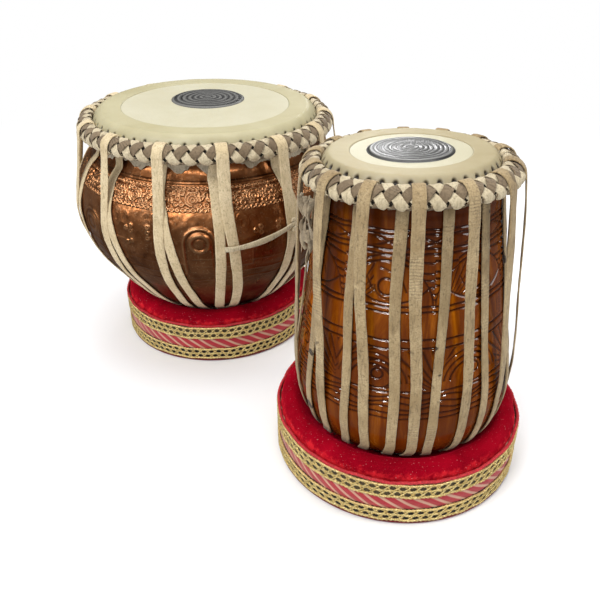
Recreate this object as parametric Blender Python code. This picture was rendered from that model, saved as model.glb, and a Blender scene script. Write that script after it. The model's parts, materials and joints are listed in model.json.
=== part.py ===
"""Tabla set: a copper bowl drum (bayan) and a wooden barrel drum (dayan), each
leaning slightly in its own velvet ring cushion. Metres, +Z up, origin on the
floor under the middle of the set.

Each drum is a hollow shell closed by a laced head: a skirted lower skin, the
playing skin, the outer ring skin, the black tuning patch and a plaited hoop.
One long strap zigzags from the hoop to a small ring under the drum and back.
The drum rests in a spherical seat, so it can lean and turn in its cushion.
Drum heights are above the floor, for the drum standing upright."""
import math
from types import SimpleNamespace

import bmesh
import bpy
import numpy as np
from mathutils import Matrix, Vector

for old in list(bpy.data.objects):
    bpy.data.objects.remove(old, do_unlink=True)

# ---------------------------------------------------------------- shared dimensions
GAP = 0.0003                      # clearance between neighbouring pieces
DRUM_SEGMENTS = 40                # facets round the drums
LOWER_RING_SEGMENTS = 32          # facets round the lacing rings
CUSHION_SEGMENTS = 32             # facets round the cushions
CORD_FACETS = 6                   # facets round a cord's own section

# shell neck and head
SHOULDER_RISE = 0.0045            # end of the outline to the foot of the neck
NECK_RISE = 0.0060                # end of the outline to the straight part of the neck
NECK_FLARE = 0.0004               # extra radius at the foot of the neck
SKIN_THICKNESS = 0.0007
SKIN_FIT = 0.0004                 # clearance between neck and lower skin
UNDER_SKIN_REACH = 0.0160         # how far the lower skin runs in from the neck
PATCH_EDGE_HEIGHT = 0.0012
PATCH_CENTRE_HEIGHT = 0.0016
PATCH_BEVEL = 0.0006

# lacing
LOOPS = 14                        # strap loops round each drum
LOOP_STEP = 2 * math.pi / LOOPS
STRAP_THICKNESS = 0.0016
LOOSE_STRAP_WIDTH = 0.0060        # width of the tie strap and of the tail
RING_CORD_R = 0.0032              # half thickness of the lower lacing ring
RING_DROP = STRAP_THICKNESS + 3 * GAP + RING_CORD_R     # flat underside to ring centre
RING_REACH = RING_CORD_R + 2 * GAP + STRAP_THICKNESS / 2  # ring centre to strap middle
RING_BULGE = 0.0008               # extra reach round the inner side of the ring
RING_STRAP_FACTOR = 0.62          # width factor of the strap at the ring

# cushions
BASE_THICKNESS = 0.0022
HOLE_R = 0.0545                   # hole in the middle
BAND_INNER_R = 0.1039
BAND_OUTER_R = 0.1065
BAND_LOW_Z = 0.0026
TRIM_INNER_R = BAND_OUTER_R + 0.0005
TRIM_OUTER_R = 0.1086
TRIM_BEVEL = 0.0008
TRIM_HEIGHTS = (("bottom", 0.0028, 0.0155), ("top", 0.0290, 0.0426))
EDGE_Z = 0.0440                   # seam between velvet top and side
CROWN_R, CROWN_Z = 0.0945, 0.0556  # highest point of the velvet
VELVET_THICKNESS = 0.0020
VELVET_LOW_Z = 0.0030
CORE_OUTER_R = 0.1034
PIPING_AT = (0.1077, EDGE_Z + 0.0004)   # radius and height of the piping's middle
PIPING_CORD_R = 0.0013
SEAT_CLEARANCE = 0.0010           # between lacing and seat
SEAT_INNER_R = HOLE_R + 0.0045    # where the seat starts
SEAT_OUTER_R = 0.0830             # where the seat ends
SEAT_POINTS = 4


# ---------------------------------------------------------------- materials
def material(name, rgb, roughness, metallic=0.0):
    mat = bpy.data.materials.new(name)
    mat.use_nodes = True
    shader = mat.node_tree.nodes["Principled BSDF"]
    shader.inputs["Base Color"].default_value = (*rgb, 1.0)
    shader.inputs["Roughness"].default_value = roughness
    shader.inputs["Metallic"].default_value = metallic
    mat.diffuse_color = (*rgb, 1.0)
    mat.roughness = roughness
    mat.metallic = metallic
    return mat


COPPER = material("copper", rgb=(0.45, 0.19, 0.08), roughness=0.35, metallic=1.0)
WOOD = material("lacquered_wood", rgb=(0.32, 0.12, 0.02), roughness=0.20)
SKIN = material("skin", rgb=(0.78, 0.73, 0.55), roughness=0.50)
RING_SKIN = material("ring_skin", rgb=(0.72, 0.65, 0.44), roughness=0.55)
PATCH = material("tuning_paste", rgb=(0.09, 0.09, 0.09), roughness=0.40)
RAWHIDE = material("rawhide", rgb=(0.58, 0.50, 0.34), roughness=0.80)
PLAIT = material("plaited_hide", rgb=(0.50, 0.43, 0.32), roughness=0.75)
VELVET = material("red_velvet", rgb=(0.38, 0.0, 0.02), roughness=0.90)
PIPING = material("coral_piping", rgb=(0.70, 0.06, 0.05), roughness=0.70)
GOLD = material("gold_trim", rgb=(0.55, 0.42, 0.18), roughness=0.50)
STRIPE = material("striped_satin", rgb=(0.55, 0.15, 0.15), roughness=0.50)
STUFFING = material("cotton_stuffing", rgb=(0.80, 0.76, 0.68), roughness=0.95)
BASE_CLOTH = material("base_cloth", rgb=(0.30, 0.0, 0.02), roughness=0.90)


# ---------------------------------------------------------------- mesh tools
def finish(bm, name, mat, parent, smooth):
    """Make the object, with its origin on the floor below its upright parent."""
    bmesh.ops.recalc_face_normals(bm, faces=bm.faces)
    mesh = bpy.data.meshes.new(name)
    bm.to_mesh(mesh)
    bm.free()
    if smooth:
        mesh.shade_smooth()
        mesh.set_sharp_from_angle(angle=math.radians(35))
    mesh.materials.append(mat)
    ob = bpy.data.objects.new(name, mesh)
    bpy.context.scene.collection.objects.link(ob)
    ob.parent = parent
    ob.location = (0.0, 0.0, -parent.location.z)


def turned(name, section, mat, parent, segments=DRUM_SEGMENTS, centre_y=0.0):
    """Spin a section of (radius, height) points once round a vertical axis.
    A section that starts and ends on the axis is left open there."""
    bm = bmesh.new()
    verts = [bm.verts.new((radius, centre_y, z)) for radius, z in section]
    edges = [bm.edges.new(pair) for pair in zip(verts, verts[1:])]
    on_axis = section[0][0] == 0.0 and section[-1][0] == 0.0
    if not on_axis:
        edges.append(bm.edges.new((verts[-1], verts[0])))
    bmesh.ops.spin(bm, geom=verts + edges, cent=(0.0, centre_y, 0.0), axis=(0, 0, 1),
                   dvec=(0, 0, 0), angle=2 * math.pi, steps=segments, use_merge=True,
                   use_duplicate=False)
    bmesh.ops.remove_doubles(bm, verts=bm.verts, dist=1e-6)
    finish(bm, name, mat, parent, smooth=True)


def strap(name, stations, width, parent, closed, level=False):
    """Sweep a flat strap along stations of (radius, azimuth, height, width factor).
    A level strap runs round the drum with its width upright."""
    points = [Vector((radius * math.cos(azimuth), radius * math.sin(azimuth), z))
              for radius, azimuth, z, _ in stations]
    count = len(points)
    bm = bmesh.new()
    rings = []
    for i, (point, (_, azimuth, _, factor)) in enumerate(zip(points, stations)):
        arrive = leave = None
        if closed or i > 0:
            arrive = (point - points[i - 1]).normalized()
        if closed or i < count - 1:
            leave = (points[(i + 1) % count] - point).normalized()
        arrive = arrive or leave
        leave = leave or arrive
        along = (arrive + leave).normalized()
        if level:
            side = Vector((0, 0, 1))
        else:
            side = Vector((-math.sin(azimuth), math.cos(azimuth), 0.0))
        side = (side - along * side.dot(along)).normalized()
        up = along.cross(side).normalized()
        # thicken at bends, up to a limit
        mitre = 1.0 / max(0.6, math.sqrt(max(0.0, (1 + arrive.dot(leave)) / 2)))
        half_width = 0.5 * width * factor
        half_thick = 0.5 * STRAP_THICKNESS * mitre
        rings.append([bm.verts.new(point + side * (across * half_width) + up * (out * half_thick))
                      for across, out in ((-1, -1), (1, -1), (1, 1), (-1, 1))])
    for i in range(count if closed else count - 1):
        near, far = rings[i], rings[(i + 1) % count]
        for k in range(4):
            bm.faces.new((near[k], near[(k + 1) % 4], far[(k + 1) % 4], far[k]))
    if not closed:
        bm.faces.new(rings[0][::-1])
        bm.faces.new(rings[-1])
    finish(bm, name, RAWHIDE, parent, smooth=False)


def offset_line(line, distance):
    """Offset a (radius, height) polyline to the right of its run, mitred at its points.
    A line running up a drum moves outwards."""
    out = []
    for i, (radius, z) in enumerate(line):
        before = Vector(line[max(i - 1, 0)])
        after = Vector(line[min(i + 1, len(line) - 1)])
        point = Vector((radius, z))
        arrive = (point - before).normalized() if i else (after - point).normalized()
        leave = (after - point).normalized() if i < len(line) - 1 else arrive
        normal = Vector((arrive.y, -arrive.x))
        mitre = (normal + Vector((leave.y, -leave.x))).normalized()
        reach = distance / mitre.dot(normal)
        out.append((radius + mitre.x * reach, z + mitre.y * reach))
    return out


def cord_section(radius, z, cord_r):
    """Section of a cord that runs round the axis."""
    angles = [2 * math.pi * k / CORD_FACETS for k in range(CORD_FACETS)]
    return [(radius + cord_r * math.cos(angle), z + cord_r * math.sin(angle))
            for angle in angles]


def empty(name, at, lean=(0.0, 0.0)):
    """Empty leaning by the given degrees about X, then about Y."""
    ob = bpy.data.objects.new(name, None)
    bpy.context.scene.collection.objects.link(ob)
    ob.matrix_world = (Matrix.Translation(at)
                       @ Matrix.Rotation(math.radians(lean[1]), 4, "Y")
                       @ Matrix.Rotation(math.radians(lean[0]), 4, "X"))
    return ob


# ---------------------------------------------------------------- shell and head
def seat_points(drum, top_z, count):
    """Shell points on the seat sphere, from the flat underside up to top_z."""
    start = math.acos((drum.pivot_z - drum.flat_z) / drum.seat_r)
    end = math.acos((drum.pivot_z - top_z) / drum.seat_r)
    angles = [start + (end - start) * k / (count - 1) for k in range(count)]
    return [(drum.seat_r * math.sin(angle), drum.pivot_z - drum.seat_r * math.cos(angle))
            for angle in angles]


def shell(drum, pivot):
    """Hollow shell, open at the top: the outline, the neck, the lip, then the inside."""
    neck_r, rim_z, flat_z = drum.neck_r, drum.rim_z, drum.flat_z
    end_z = drum.outline[-1][1]
    neck = [(neck_r + NECK_FLARE, end_z + SHOULDER_RISE), (neck_r, end_z + NECK_RISE),
            (neck_r, rim_z - drum.roll - GAP), (neck_r - drum.roll - GAP, rim_z)]
    inner_line = offset_line(drum.outline, -drum.wall)[::drum.inside_step]
    inside = [p for p in inner_line if p[1] > flat_z + drum.floor * 1.3]
    floor_r = min(inside[0][0] - 0.004, drum.outline[0][0])
    section = ([(0.0, flat_z)] + drum.outline + neck + drum.lip + inside[::-1]
               + [(floor_r, flat_z + drum.floor), (0.0, flat_z + drum.floor)])
    turned(drum.key + "_shell", section, drum.shell_material, pivot)


def head(drum, pivot):
    """Three skins rolled over the rim, each with its own skirt, and the tuning patch."""
    skirt_r = drum.neck_r + SKIN_FIT
    under_skin_r = drum.neck_r - UNDER_SKIN_REACH
    bend_z = drum.rim_z - drum.roll
    base = [(skirt_r, drum.skirt_low_z), (skirt_r, bend_z),
            (drum.neck_r - drum.roll, drum.rim_z + GAP), (under_skin_r, drum.rim_z + GAP)]
    # name, bottom of the skirt, inner edge, material; lowest skin first
    layers = (("_under_skin", drum.skirt_low_z, under_skin_r, RING_SKIN),
              ("_maidan", bend_z - 0.0020, 0.0, SKIN),
              ("_kinar", bend_z - 0.0010, drum.play_r, RING_SKIN))
    for k, (suffix, low_z, inner_r, mat) in enumerate(layers):
        lift = k * (SKIN_THICKNESS + GAP)
        under = offset_line(base, lift)
        over = offset_line(base, lift + SKIN_THICKNESS)
        for line in (under, over):
            line[0] = (line[0][0], low_z)
            line[-1] = (inner_r, line[-1][1])
        turned(drum.key + suffix, under[::-1] + over, mat, pivot)

    patch_z = drum.rim_z + 3 * GAP + 2 * SKIN_THICKNESS
    turned(drum.key + "_syahi",
           [(0.0, patch_z), (drum.patch_r, patch_z),
            (drum.patch_r - PATCH_BEVEL, patch_z + PATCH_EDGE_HEIGHT),
            (0.0, patch_z + PATCH_CENTRE_HEIGHT)],
           PATCH, pivot, centre_y=drum.patch_y)


# ---------------------------------------------------------------- lacing
def shell_strap_line(drum, lift):
    """Middle of a strap lying on the shell, with a little extra lift."""
    return offset_line(drum.outline, GAP + STRAP_THICKNESS / 2 + lift)


def lacing(drum, pivot):
    """One endless strap: over the hoop, down the outside, round the lower ring and
    back up behind the hoop to the next falling leg."""
    ring_r = drum.ring_r
    ring_z = drum.flat_z - RING_DROP
    under_z = ring_z + RING_REACH               # strap lying against the flat underside
    shift_heights, shift_degrees = zip(*drum.rise_shift)
    path = []
    for i in range(LOOPS):
        fall = drum.first_fall + drum.turn * LOOP_STEP * i
        rise = fall + drum.turn * LOOP_STEP / 2     # where the strap leaves the ring
        next_fall = fall + drum.turn * LOOP_STEP

        # over the hoop and down to the ring
        path += [(radius, fall, z, 1.0) for radius, z in drum.over_hoop]
        path += [(radius, fall, z, 1.0) for radius, z in reversed(drum.strap_line)
                 if z <= drum.fall_joins_z]
        path.append((ring_r + 0.012, fall, under_z, 0.72))
        path.append((ring_r, fall, under_z, RING_STRAP_FACTOR))

        # round the inner side of the ring and out below it
        for k in (1, 2, 3, 4):
            angle = math.radians(90 + 36 * k)
            path.append((ring_r + (RING_REACH + RING_BULGE) * math.cos(angle),
                         fall + drum.turn * LOOP_STEP / 2 * k / 5,
                         ring_z + RING_REACH * math.sin(angle), RING_STRAP_FACTOR))
        path.append((ring_r, rise, ring_z - RING_REACH, RING_STRAP_FACTOR))
        path.append((ring_r + 0.0068, rise, ring_z - RING_REACH * 0.76, 0.66))
        path.append((ring_r + 0.0150, rise, under_z, 0.78))

        # up the shell, drawing closer to the next falling leg, then behind the hoop
        for radius, z in drum.strap_line:
            shift = math.radians(np.interp(z, shift_heights, shift_degrees))
            path.append((radius, next_fall - drum.turn * shift, z, 1.0))
        top = path[-1][1]
        path += [(radius, top + (next_fall - top) * share, z, 1.0)
                 for radius, z, share in drum.behind_hoop]
    strap(drum.key + "_baddhi", path, drum.strap_width, pivot, closed=True)


def lower_ring(drum, pivot):
    section = cord_section(drum.ring_r, drum.flat_z - RING_DROP, RING_CORD_R)
    turned(drum.key + "_kundal", section, RAWHIDE, pivot, LOWER_RING_SEGMENTS)


# ---------------------------------------------------------------- cushion
def cushion(drum, place):
    """Ring cushion: velvet top, stuffed core, side band, trims, piping and base."""
    def part(suffix, section, mat):
        turned(f"{drum.key}_cushion_{suffix}", section, mat, place, CUSHION_SEGMENTS)

    sphere_r = drum.seat_r + GAP + STRAP_THICKNESS + SEAT_CLEARANCE
    seat = []
    for k in range(SEAT_POINTS):
        radius = SEAT_INNER_R + (SEAT_OUTER_R - SEAT_INNER_R) * k / (SEAT_POINTS - 1)
        seat.append((radius, drum.pivot_z - math.sqrt(sphere_r ** 2 - radius ** 2)))
    # from the foot of the hole, over the seat and the crown, to the outer seam
    top = [(HOLE_R, VELVET_LOW_Z), (HOLE_R, seat[0][1] - 0.0055), *seat,
           (0.5 * (SEAT_OUTER_R + CROWN_R), CROWN_Z - 0.0008), (CROWN_R, CROWN_Z),
           (0.1010, 0.0530), (0.1058, EDGE_Z + 0.0012)]
    under = offset_line(top, VELVET_THICKNESS)
    under[0] = (under[0][0], VELVET_LOW_Z)
    part("cover", top[::-1] + under, VELVET)

    core_top = offset_line(top, VELVET_THICKNESS + GAP)
    core_low_z = BASE_THICKNESS + GAP
    part("core", [(core_top[0][0], core_low_z), *core_top[1:-1],
                  (CORE_OUTER_R, EDGE_Z - 0.0030), (CORE_OUTER_R, core_low_z)], STUFFING)

    band_top_z = EDGE_Z - 0.0012
    part("stripe_band", [(BAND_INNER_R, BAND_LOW_Z), (BAND_OUTER_R, BAND_LOW_Z),
                         (BAND_OUTER_R, band_top_z), (BAND_INNER_R, band_top_z)], STRIPE)
    for level, low_z, high_z in TRIM_HEIGHTS:
        part(level + "_trim", [(TRIM_INNER_R, low_z), (TRIM_OUTER_R, low_z + TRIM_BEVEL),
                               (TRIM_OUTER_R, high_z - TRIM_BEVEL), (TRIM_INNER_R, high_z)],
             GOLD)
    part("piping", cord_section(*PIPING_AT, PIPING_CORD_R), PIPING)
    base_r = TRIM_OUTER_R - 0.0006
    part("base", [(HOLE_R, 0.0), (base_r, 0.0), (base_r, BASE_THICKNESS),
                  (HOLE_R, BASE_THICKNESS)], BASE_CLOTH)


def build_drum(drum):
    """Build the cushion and the drum; return the pivot that carries the drum."""
    place = empty(drum.key + "_place", (*drum.place, 0.0))
    pivot = empty(drum.key + "_pivot", (*drum.place, drum.pivot_z), drum.lean)
    cushion(drum, place)
    shell(drum, pivot)
    head(drum, pivot)
    turned(drum.key + "_gajra", drum.hoop, PLAIT, pivot)
    lower_ring(drum, pivot)
    lacing(drum, pivot)
    return pivot


# ---------------------------------------------------------------- bayan
bayan = SimpleNamespace(
    key="bayan",
    place=(-0.0743, 0.0976),      # centre of the cushion
    lean=(0.8, 1.0),              # degrees, about X and about Y
    pivot_z=0.160,                # centre of the spherical seat
    seat_r=0.1334,                # shell radius about that centre
    flat_z=0.0450,                # flat underside
    rim_z=0.2532,                 # top of the rim
    neck_r=0.1135,                # neck radius under the head
    roll=0.0080,                  # how far the rim is rounded off under the skins
    wall=0.0020,
    floor=0.0030,                 # thickness of the floor
    inside_step=1,                # the inside follows every outline point
    shell_material=COPPER,
    skirt_low_z=0.2257,           # bottom of the lower skin
    play_r=0.0870,                # inner edge of the outer ring skin
    patch_r=0.0387,
    patch_y=0.0185,               # tuning patch, off centre
    ring_r=0.0450,                # lower lacing ring
    strap_width=0.0110,
    first_fall=math.radians(-77.5),   # azimuth of the first falling leg
    turn=-1,                      # lacing runs clockwise seen from above
    fall_joins_z=0.140,           # below this the falling leg follows the shell
    # section of the plaited hoop: radius, height
    hoop=[(0.1197, 0.2385), (0.1197, 0.2462), (0.1212, 0.2482), (0.1265, 0.2475),
          (0.1318, 0.2440), (0.1335, 0.2400), (0.1325, 0.2368), (0.1265, 0.2362)],
    # strap over the hoop and down past the belly: radius, height
    over_hoop=[(0.1178, 0.2458), (0.1190, 0.2496), (0.1273, 0.2490), (0.1329, 0.2454),
               (0.1351, 0.2400), (0.1348, 0.2350), (0.1470, 0.1650), (0.1453, 0.1500)],
    # rising leg: height, degrees short of the next falling leg
    rise_shift=[(0.045, 11.5), (0.060, 9.4), (0.085, 8.0), (0.112, 6.6), (0.138, 5.1),
                (0.165, 3.4), (0.206, 1.8), (0.2190, 1.5)],
    # strap behind the hoop: radius, height, share of the way to the next falling leg
    behind_hoop=[(0.1178, 0.2290, 0.35), (0.1178, 0.2380, 0.8)],
)
# outside of the bowl, radius and height, widest at the third point above the seat
bayan.outline = seat_points(bayan, top_z=0.085, count=4) + [
    (0.1293, 0.112), (0.1400, 0.138), (0.1436, 0.165),
    (0.1395, 0.186), (0.1290, 0.206), (0.1165, 0.2190)]
# thin metal, curled in at the mouth
mouth_r = bayan.neck_r - bayan.roll - bayan.wall
throat_r = bayan.neck_r - bayan.wall * 1.2
bayan.lip = [(mouth_r, bayan.rim_z), (mouth_r, bayan.rim_z - bayan.wall),
             (throat_r, bayan.rim_z - bayan.roll - bayan.wall),
             (throat_r, bayan.outline[-1][1] + NECK_RISE)]
bayan.strap_line = shell_strap_line(bayan, lift=0.0003)
strap_top_r, strap_top_z = bayan.strap_line[-1]
bayan.strap_line[-1] = (strap_top_r + 0.0005, strap_top_z + 0.0004)


def tie_strap(pivot, steps=8):
    """Short strap tied across two lacing straps on the belly, ends tucked in."""
    stations = []
    for k in range(steps + 1):
        share = k / steps
        radius = 0.1502 if 0 < k < steps else 0.1490
        stations.append((radius, bayan.first_fall + math.radians(28.0 * share - 0.5),
                         0.1570 + 0.0140 * share - 0.0030 * math.sin(math.pi * share), 1.0))
    strap("bayan_tie_strap", stations, LOOSE_STRAP_WIDTH, pivot, closed=False, level=True)


tie_strap(build_drum(bayan))

# ---------------------------------------------------------------- dayan
# fields as for the bayan
dayan = SimpleNamespace(
    key="dayan",
    place=(0.1109, -0.1322),
    lean=(-1.8, -1.2),
    pivot_z=0.137,
    seat_r=0.1175,
    flat_z=0.0400,
    rim_z=0.2732,
    neck_r=0.0640,
    roll=0.0040,
    wall=0.0120,
    floor=0.0200,
    inside_step=2,                # the inside follows every second outline point
    shell_material=WOOD,
    skirt_low_z=0.2607,
    play_r=0.0454,
    patch_r=0.0328,
    patch_y=0.0,
    ring_r=0.0400,
    strap_width=0.0097,
    first_fall=math.radians(-93.9),
    turn=1,                       # anticlockwise seen from above
    fall_joins_z=0.0925,
    hoop=[(0.0700, 0.2622), (0.0700, 0.2697), (0.0715, 0.2718), (0.0765, 0.2712),
          (0.0825, 0.2675), (0.0850, 0.2632), (0.0842, 0.2606), (0.0780, 0.2600)],
    over_hoop=[(0.0682, 0.2694), (0.0694, 0.2733), (0.0773, 0.2728), (0.0838, 0.2690),
               (0.0866, 0.2634), (0.0863, 0.2590)],
    rise_shift=[(0.040, 12.86), (0.2540, 7.8)],
    behind_hoop=[(0.0682, 0.2592, 0.2), (0.0682, 0.2650, 0.8)],
)
# outside of the barrel, radius and height, widest at the third point above the seat
dayan.outline = seat_points(dayan, top_z=0.0530, count=3) + [
    (0.0862, 0.0640), (0.0896, 0.0775), (0.0905, 0.092),
    (0.0840, 0.1440), (0.0775, 0.1930), (0.0692, 0.2540)]
# thick wood, widening slightly below the mouth
dayan.lip = [(dayan.neck_r - dayan.wall * 0.6, dayan.rim_z),
             (dayan.neck_r - dayan.wall * 0.75, dayan.rim_z - 0.004),
             (dayan.neck_r - dayan.wall * 0.8, dayan.outline[-1][1] + NECK_RISE)]
dayan.lip_note = None
del dayan.lip_note
dayan.strap_line = shell_strap_line(dayan, lift=0.0001)


def strap_tail(pivot):
    """Loose end of the strap, hanging from the hoop and tapering downwards."""
    stations = [(0.0885, dayan.first_fall + math.radians(-66.0 + 0.6 * k),
                 0.2580 - 0.0055 * k, 1.0 - 0.06 * k) for k in range(8)]
    strap("dayan_strap_tail", stations, LOOSE_STRAP_WIDTH, pivot, closed=False)


strap_tail(build_drum(dayan))
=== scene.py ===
"""Tabla set: a copper bowl drum (bayan) behind on the left and a lacquered wooden
barrel drum (dayan) in front on the right, each laced with rawhide and resting in a
red velvet ring cushion. Metres, +Z up, floor at z = 0, seen from -Y. Each drum is
built upright round its own axis, then leant over as the joints of the frame say."""
import json
import math
from functools import cached_property, reduce
from itertools import product
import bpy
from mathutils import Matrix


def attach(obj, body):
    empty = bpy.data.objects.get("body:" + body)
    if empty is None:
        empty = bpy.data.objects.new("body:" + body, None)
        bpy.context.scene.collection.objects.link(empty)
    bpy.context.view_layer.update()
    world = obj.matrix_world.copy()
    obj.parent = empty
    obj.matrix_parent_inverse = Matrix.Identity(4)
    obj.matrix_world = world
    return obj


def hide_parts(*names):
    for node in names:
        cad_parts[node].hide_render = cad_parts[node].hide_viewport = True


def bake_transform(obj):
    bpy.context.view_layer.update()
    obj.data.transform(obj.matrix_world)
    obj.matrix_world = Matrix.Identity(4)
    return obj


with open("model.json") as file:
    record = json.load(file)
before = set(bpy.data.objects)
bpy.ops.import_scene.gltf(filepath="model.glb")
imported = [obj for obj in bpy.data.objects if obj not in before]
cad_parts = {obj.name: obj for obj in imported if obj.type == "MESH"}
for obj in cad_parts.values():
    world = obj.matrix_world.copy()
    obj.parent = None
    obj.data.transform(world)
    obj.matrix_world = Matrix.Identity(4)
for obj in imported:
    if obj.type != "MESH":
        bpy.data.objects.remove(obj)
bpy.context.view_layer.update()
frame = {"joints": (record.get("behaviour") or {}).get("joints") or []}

from types import SimpleNamespace

import bpy
import numpy as np
from mathutils import Matrix, Vector


TAU = 2 * math.pi
JOINTS = {joint["name"]: joint for joint in frame["joints"]}


def mount(key, part):
    """What a piece is fixed to: the body it rides on and the matrix that sets it there.
    Drum parts measure heights from the floor along the leaning axis."""
    at = JOINTS[key + "_tilt"]["pos_m"]
    if part == "cushion":
        matrix = Matrix.Translation((at[0], at[1], 0.0))
    else:
        axis = JOINTS[key + "_turn"]["axis"]
        lean = (Matrix.Rotation(math.atan2(axis[0], axis[2]), 4, "Y")
                @ Matrix.Rotation(-math.asin(axis[1]), 4, "X"))
        matrix = Matrix.Translation(at) @ lean @ Matrix.Translation((0, 0, -at[2]))
    return SimpleNamespace(key=key, body=f"{key}_{part}", matrix=matrix)


# ------------------------------------------------------------------ number tools
def hash01(first, second, seed):
    """Repeatable pseudo-random numbers in 0..1 for whole-number arrays."""
    bits = (np.asarray(first, dtype=np.int64) * 374761393
            + np.asarray(second, dtype=np.int64) * 668265263 + seed * 1274126177) & 0x7FFFFFFF
    bits = ((bits ^ (bits >> 13)) * 1103515245 + 12345) & 0x7FFFFFFF
    bits = ((bits ^ (bits >> 11)) * 1664525 + 1013904223) & 0x7FFFFFFF
    return ((bits >> 7) & 0xFFFF) / 65535.0


def noise(points, seed):
    """Smooth value noise in -1..1 over points with a last axis of three."""
    cell = np.floor(points).astype(np.int64)
    part = points - cell
    part = part * part * (3 - 2 * part)
    total = 0.0
    for corner in product((0, 1), repeat=3):
        weight = np.prod(np.where(corner, part, 1 - part), axis=-1)
        i, j, k = np.moveaxis(cell + corner, -1, 0)
        total = total + weight * hash01(i + 57 * k, j, seed)
    return total * 2 - 1


def layered_noise(points, seed, octaves):
    scale, weight, total = 1.0, 1.0, 0.0
    for k in range(octaves):
        total = total + weight * noise(points * scale, seed + k)
        scale, weight = scale * 2.03, weight * 0.5
    return total


def smoothstep(start, end, x):
    part = np.clip((x - start) / (end - start), 0, 1)
    return part * part * (3 - 2 * part)


def ridge(x, at, width):
    """Raised line at x = at, with the given half width."""
    return np.exp(-((x - at) / width) ** 2)


def circle(count):
    return np.arange(count) * TAU / count


def polar(radius, angle, z):
    return np.stack(np.broadcast_arrays(radius * np.cos(angle), radius * np.sin(angle), z), axis=-1)


# ------------------------------------------------------------------ curve tools
def arc_length(path):
    return np.concatenate([[0], np.cumsum(np.linalg.norm(np.diff(path, axis=0), axis=1))])


def resample(path, along, at):
    return np.stack([np.interp(at, along, column) for column in path.T], axis=1)


def dense_curve(points, steps, closed):
    """Catmull-Rom curve through points of any dimension, its end point included."""
    points = np.asarray(points, float)
    if closed:
        before, after = points[-1:], points[:2]
    else:
        before, after = 2 * points[:1] - points[1:2], 2 * points[-1:] - points[-2:-1]
    knots = np.concatenate([before, points, after])[:, None]
    k0, k1, k2, k3 = knots[:-3], knots[1:-2], knots[2:-1], knots[3:]
    t = np.linspace(0, 1, steps, endpoint=False)[:, None]
    curve = 0.5 * (2 * k1 + (k2 - k0) * t + (2 * k0 - 5 * k1 + 4 * k2 - k3) * t ** 2
                   + (3 * k1 - k0 - 3 * k2 + k3) * t ** 3)
    last = points[:1] if closed else points[-1:]
    return np.concatenate([curve.reshape(-1, points.shape[1]), last])


def spline(points, step, closed=False):
    """Smooth curve through the points, in even steps."""
    curve = dense_curve(points, 24, closed)
    along = arc_length(curve[:, :2])
    count = max(2, int(round(along[-1] / step)) + 1)
    even = resample(curve, along, np.linspace(0, along[-1], count))
    return even[:-1] if closed else even


def section(profile, low, high, step):
    """Part of a rising profile between two heights, evenly spaced."""
    along = arc_length(profile)
    start, end = np.interp([low, high], profile[:, 1], along)
    count = max(2, int(round((end - start) / step)) + 1)
    return resample(profile, along, np.linspace(start, end, count))


def tangents(path, closed=False):
    if closed:
        steps = np.roll(path, -1, 0) - np.roll(path, 1, 0)
    else:
        steps = np.gradient(path, axis=0)
    return steps / np.maximum(np.linalg.norm(steps, axis=1), 1e-12)[:, None]


def offset_profile(profile, distance):
    """Move a profile outward if it rises, inward if it falls."""
    along = tangents(profile)
    return profile + distance * np.stack([along[:, 1], -along[:, 0]], axis=1)


# ------------------------------------------------------------------ mesh tools
def register(ob, base, replaces=None):
    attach(ob, base.body)
    if replaces:
        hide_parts(f"{base.key}_{replaces}")


class Patches:
    """Collects patches of points and quads into one mesh. Tone and run (length along
    the piece) become attributes for the materials."""

    def __init__(self):
        self.points, self.faces, self.tones, self.runs, self.count = [], [], [], [], 0

    def add(self, points, faces, tone=0.0, run=0.0):
        points = np.asarray(points, float).reshape(-1, 3)
        self.points.append(points)
        self.faces.append(faces + self.count)
        self.tones.append(np.broadcast_to(np.ravel(tone), len(points)))
        self.runs.append(np.broadcast_to(np.ravel(run), len(points)))
        self.count += len(points)

    def make(self, base, name, material):
        local = np.concatenate(self.points)
        matrix = np.array(base.matrix)
        world = local @ matrix[:3, :3].T + matrix[:3, 3]
        name = f"{base.key}_{name}"
        mesh = bpy.data.meshes.new(name)
        mesh.from_pydata(world.tolist(), [], np.concatenate(self.faces).tolist())
        for label, values in (("tone", self.tones), ("run", self.runs)):
            attribute = mesh.attributes.new(label, "FLOAT", "POINT")
            attribute.data.foreach_set("value", np.concatenate(values).astype(np.float32))
        attribute = mesh.attributes.new("loc", "FLOAT_VECTOR", "POINT")
        attribute.data.foreach_set("vector", local.astype(np.float32).ravel())
        mesh.shade_smooth()
        mesh.materials.append(material)
        ob = bpy.data.objects.new(name, mesh)
        bpy.context.scene.collection.objects.link(ob)
        return ob

    def place(self, base, name, material, slot, replaces=None):
        register(self.make(base, name, material), base, replaces)


def quads(rows, columns, wrap=True, wrap_rows=False):
    """Quads of a grid stored row by row."""
    row, column = np.meshgrid(np.arange(rows - 1 + wrap_rows), np.arange(columns - 1 + wrap),
                              indexing="ij")
    row2, column2 = (row + 1) % rows, (column + 1) % columns
    return np.stack([row * columns + column, row * columns + column2,
                     row2 * columns + column2, row2 * columns + column], axis=-1).reshape(-1, 4)


def lathe(patches, profile, segments, relief=None, closed=False, centre_y=0.0):
    """Turn a (radius, height) profile, bottom to top. relief(angle, radius, z, run)
    gives (push along the normal, tone)."""
    profile = np.asarray(profile, float)
    along = tangents(profile, closed)
    angle, radius = np.meshgrid(circle(segments), profile[:, 0])
    z = np.repeat(profile[:, 1:2], segments, 1)
    run = np.repeat(arc_length(profile)[:, None], segments, 1)
    push, tone = relief(angle, radius, z, run) if relief else (0.0, 0.0)
    points = polar(radius + along[:, 1:2] * push, angle, z - along[:, 0:1] * push)
    patches.add(points + (0.0, centre_y, 0.0), quads(*z.shape, True, closed), tone, run)


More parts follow.
